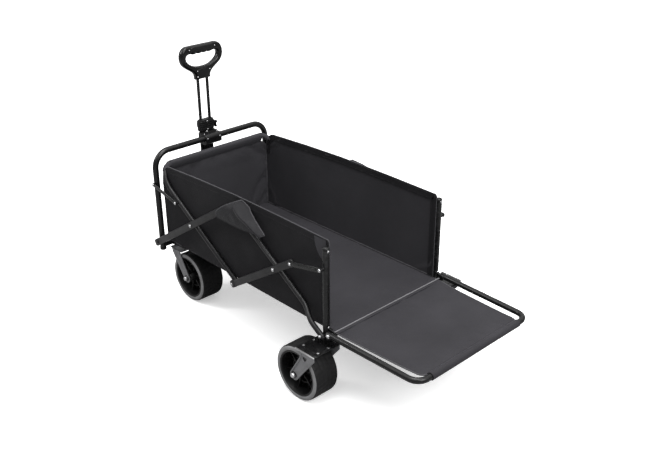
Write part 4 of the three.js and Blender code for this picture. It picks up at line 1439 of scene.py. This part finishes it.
def clamp_block():
    low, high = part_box("handle_clamp")
    tall = high.z - low.z
    pin = PIVOTS["clamp_lever_pivot"]
    body = Piece(clamp_layer(0.0125, 0.0325, low.z, low.z + 0.30 * tall))
    for k in range(4):
        z = low.z + tall * (0.30 + 0.09 * k)
        half_x, half_y = (0.0140, 0.0340) if k % 2 else (0.0124, 0.0322)
        body.add(clamp_layer(half_x, half_y, z - 0.0002, z + 0.09 * tall, 0.0006))
    body.add(clamp_layer(0.0132, 0.0332, low.z + 0.655 * tall, high.z - 0.004))
    body.add(clamp_layer(0.0112, 0.0312, high.z - 0.0044, high.z))
    ear = [(0.030, pin.z + 0.006), (0.030, pin.z - 0.006)] + arc(pin.y, pin.z, 0.0052, -90, 90)
    for x in (ROD_X - 0.012, ROD_X + 0.012):
        body.add(stamped([ear], 0.003, 0.0006, "X", x))
    for z in (low.z + 0.10 * tall, high.z - 0.16 * tall):
        body.add(screw_x(ROD_X + 0.0132, 0.0, z, 1, 0.0030), 1)
    body.make("clamp_block", [PLASTIC, BRIGHT], "handle", "handle_clamp", "moulding", PRESSED)


def clamp_lever():
    low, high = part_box("clamp_lever")
    pin = PIVOTS["clamp_lever_pivot"]
    hook = arc(pin.y, pin.z, 0.0040, 175, -30, 14)
    hook += [(pin.y + 0.0038, low.z + 0.010), (high.y, low.z + 0.0055), (high.y - 0.0005, low.z + 0.001),
             (pin.y + 0.0010, low.z), (pin.y - 0.0024, low.z + 0.003)]
    lever = Piece(stamped([hook], 0.0185, 0.0012, "X", (low.x + high.x) / 2))
    lever.add(tube([(low.x + 0.0005, pin.y, pin.z), (high.x - 0.0005, pin.y, pin.z)], 0.0022, 16, 0.2), 1)
    lever.make("clamp_lever_hook", [GLOSS, BRIGHT], "clamp_lever", "clamp_lever", "moulding", PRESSED)


def crossbar_clip():
    """Two jaws reach forwards round the outer tubes, and a saddle holds the crossbar."""
    low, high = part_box("handle_clip")
    back, jaw_x = FRONT.x - 0.0118, ROD_X + 0.0005
    clip = Piece()
    for s in (-1, 1):
        y = s * ROD_Y
        jaw = [(back, y - 0.0155), (back, y + 0.0155), (jaw_x, y + 0.0145)]
        jaw += arc(ROD_X, y, 0.0082, 88, -88, 14) + [(jaw_x, y - 0.0145)]
        for z0, z1 in ((low.z + 0.001, low.z + 0.016), (low.z + 0.019, high.z - 0.001)):
            clip.add(stamped([jaw], z1 - z0, 0.0010, "Z", (z0 + z1) / 2))
    opening = arc(FRONT.x, CROSSBAR_Z, POST_R + 0.0004, 222, 538, 30)
    saddle = [(FRONT.x + 0.0138, low.z + 0.006)] + arc(FRONT.x, CROSSBAR_Z, 0.0142, -20, 90)
    saddle += [(FRONT.x - 0.0138, high.z - 0.003), (FRONT.x - 0.0138, low.z), (FRONT.x + 0.004, low.z)]
    clip.add(stamped([saddle, opening], 0.070, 0.0012, "Y", 0))
    for s in (-1, 1):
        clip.add(screw_x(FRONT.x + 0.0142, s * 0.027, CROSSBAR_Z, 1, 0.0034), 1)
        clip.add(button(FRONT.x - 0.006, s * 0.028, CROSSBAR_Z + 0.0140, 0.0030, 0.0016), 1)
    clip.make("crossbar_clip", [PLASTIC, BRIGHT], "front_frame", "handle_clip", "moulding", PRESSED)


def grip():
    """A loop with four finger scallops in its opening, a raised hand bar and a neck plate."""
    low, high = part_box("handle_grip")
    z0, z1 = low.z, high.z
    h = lambda k: z0 + (z1 - z0) * k
    right = [(0.031, z0)] + bezier((0.033, h(0.13)), (0.042, h(0.29)), (0.072, h(0.34)), (0.084, h(0.504)))
    right += bezier((0.084, h(0.504)), (0.096, h(0.667)), (0.091, z1), (0.056, z1))[1:]
    opening = bezier((0, h(0.366)), (0.022, h(0.366)), (0.040, h(0.39)), (0.058, h(0.52)))
    opening += bezier((0.058, h(0.52)), (0.072, h(0.618)), (0.072, h(0.76)), (0.052, h(0.775)))[1:]
    scallops = [(a, h(0.765) - 0.0024 * abs(math.sin(math.pi * (a + 0.044) / 0.022)))
                for a in np.linspace(0.044, -0.044, 41)]
    opening = opening + scallops + mirrored(opening)[:-1]
    loop = Piece(stamped([right + mirrored(right), opening], 0.0236, 0.0078, "X", ROD_X))
    bar = bezier((-0.050, h(0.80)), (-0.056, h(0.96)), (-0.050, h(0.985)), (-0.030, h(0.985)), 8)
    loop.add(stamped([bar + mirrored(bar)], 0.0262, 0.0060, "X", ROD_X), 1)
    neck = [(-0.0265, h(0.03)), (0.0265, h(0.03)), (0.030, h(0.24)), (0.020, h(0.315))]
    neck += [(-0.020, h(0.315)), (-0.030, h(0.24))]
    loop.add(stamped([neck], 0.0256, 0.0024, "X", ROD_X), 1)
    for out in (-1, 1):
        for y, k, face in ((0.054, 0.90, 0.0118), (0.0845, 0.60, 0.0062), (0.026, 0.26, 0.0128),
                           (0.026, 0.09, 0.0128)):
            for s in (-1, 1):
                loop.add(screw_x(ROD_X + out * face, s * y, h(k), out, 0.0024), 2)
    loop.make("grip", [GLOSS, PLASTIC, BRIGHT], "handle_slider", "handle_grip", "moulding", PRESSED)


# ---- floor, lights and camera ---------------------------------------------------------
WORLD_LIGHT = 1.5
FLOOR_GLOW = 0.4  # seen by the camera only: keeps the contact shadows faint
FLOOR_PALE = 0.93
FLOOR_BOUNCE = 0.35  # how pale the floor is to everything but the camera
FLOOR_HALF = 30
HORIZON, OVERHEAD = 0.16, 1.0  # the room is bright above and dim at the sides
LIGHTS_AIM = Vector((0, 0, 0.3))
LIGHTS = (
    ("front", (2.6, -0.3, 2.3), 52, (1.3, 1.3)),
    ("top", (0.4, -0.3, 3.6), 88, (1.8, 1.8)),
    ("edge", (-2.4, -2.0, 2.6), 40, (0.5, 1.8)),
)
CAMERA_PLACE = (1.9052, -1.7745, 1.6499)
CAMERA_TURN, CAMERA_TILT, CAMERA_ROLL = math.radians(47.18), math.radians(26.03), math.radians(-0.58)
LENS = 49.16


def studio_floor():
    mesh = bpy.data.meshes.new("studio_floor")
    far = FLOOR_HALF
    mesh.from_pydata([(-far, -far, 0), (far, -far, 0), (far, far, 0), (-far, far, 0)], [], [(0, 1, 2, 3)])
    floor = bpy.data.objects.new("studio_floor", mesh)
    scene.collection.objects.link(floor)
    m = bpy.data.materials.new("pale_floor")
    m.use_nodes = True
    tree = m.node_tree
    seen = node(tree, "ShaderNodeLightPath", "Is Camera Ray")
    looks = {
        "Base Color": ramp(tree, seen, grey(FLOOR_BOUNCE), grey(FLOOR_PALE), 0.0, 1.0),
        "Roughness": 0.9,
        "Specular IOR Level": 0.0,
        "Emission Color": (1, 1, 1, 1),
        "Emission Strength": calc(tree, "MULTIPLY", seen, FLOOR_GLOW),
    }
    for name, value in looks.items():
        wire(tree, value, tree.nodes["Principled BSDF"].inputs[name])
    mesh.materials.append(m)
    floor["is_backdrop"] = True


def studio_light():
    world = bpy.data.worlds.new("studio")
    scene.world = world
    world.use_nodes = True
    tree = world.node_tree
    height = tree.nodes.new("ShaderNodeSeparateXYZ")
    tree.links.new(node(tree, "ShaderNodeTexCoord", "Generated"), height.inputs[0])
    sky = ramp(tree, height.outputs["Z"], grey(HORIZON), grey(OVERHEAD), 0.15, 0.75)
    seen = node(tree, "ShaderNodeLightPath", "Is Camera Ray")
    background = tree.nodes["Background"]
    tree.links.new(mix(tree, seen, sky, (1, 1, 1, 1)), background.inputs["Color"])
    background.inputs["Strength"].default_value = WORLD_LIGHT
    for name, place, power, size in LIGHTS:
        lamp = bpy.data.lights.new(name, "AREA")
        lamp.shape = "RECTANGLE"
        lamp.size, lamp.size_y = size
        lamp.energy = power
        obj = bpy.data.objects.new(name, lamp)
        obj.location = place
        obj.rotation_euler = (LIGHTS_AIM - Vector(place)).to_track_quat("-Z", "Y").to_euler()
        scene.collection.objects.link(obj)


def camera():
    cam = bpy.data.cameras.new("camera")
    cam.lens, cam.sensor_width, cam.sensor_fit = LENS, 36.0, "HORIZONTAL"
    obj = bpy.data.objects.new("camera", cam)
    look = Matrix.Rotation(CAMERA_TURN, 4, "Z") @ Matrix.Rotation(math.pi / 2 - CAMERA_TILT, 4, "X")
    obj.matrix_world = Matrix.Translation(CAMERA_PLACE) @ look @ Matrix.Rotation(CAMERA_ROLL, 4, "Z")
    scene.collection.objects.link(obj)
    scene.camera = obj


front_frame()
rear_frame()
scissors()
hem_place = bar_b()
links()
wheels()
caster_forks()
rear_brackets()
tailgate()
for side_name, sign in SIDES:
    bed_side(side_name, sign)
bed_floor()
bed_front(hem_place)
front_hem(hem_place)
joint_covers()
handle_bracket()
handle_tubes()
clamp_block()
clamp_lever()
crossbar_clip()
grip()
studio_floor()
studio_light()
camera()
scene.view_settings.view_transform = "Standard"

as_lists = lambda bounds: [list(corner) for corner in bounds]
{"cad": as_lists(cad_bounds), "visual": as_lists(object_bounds())}
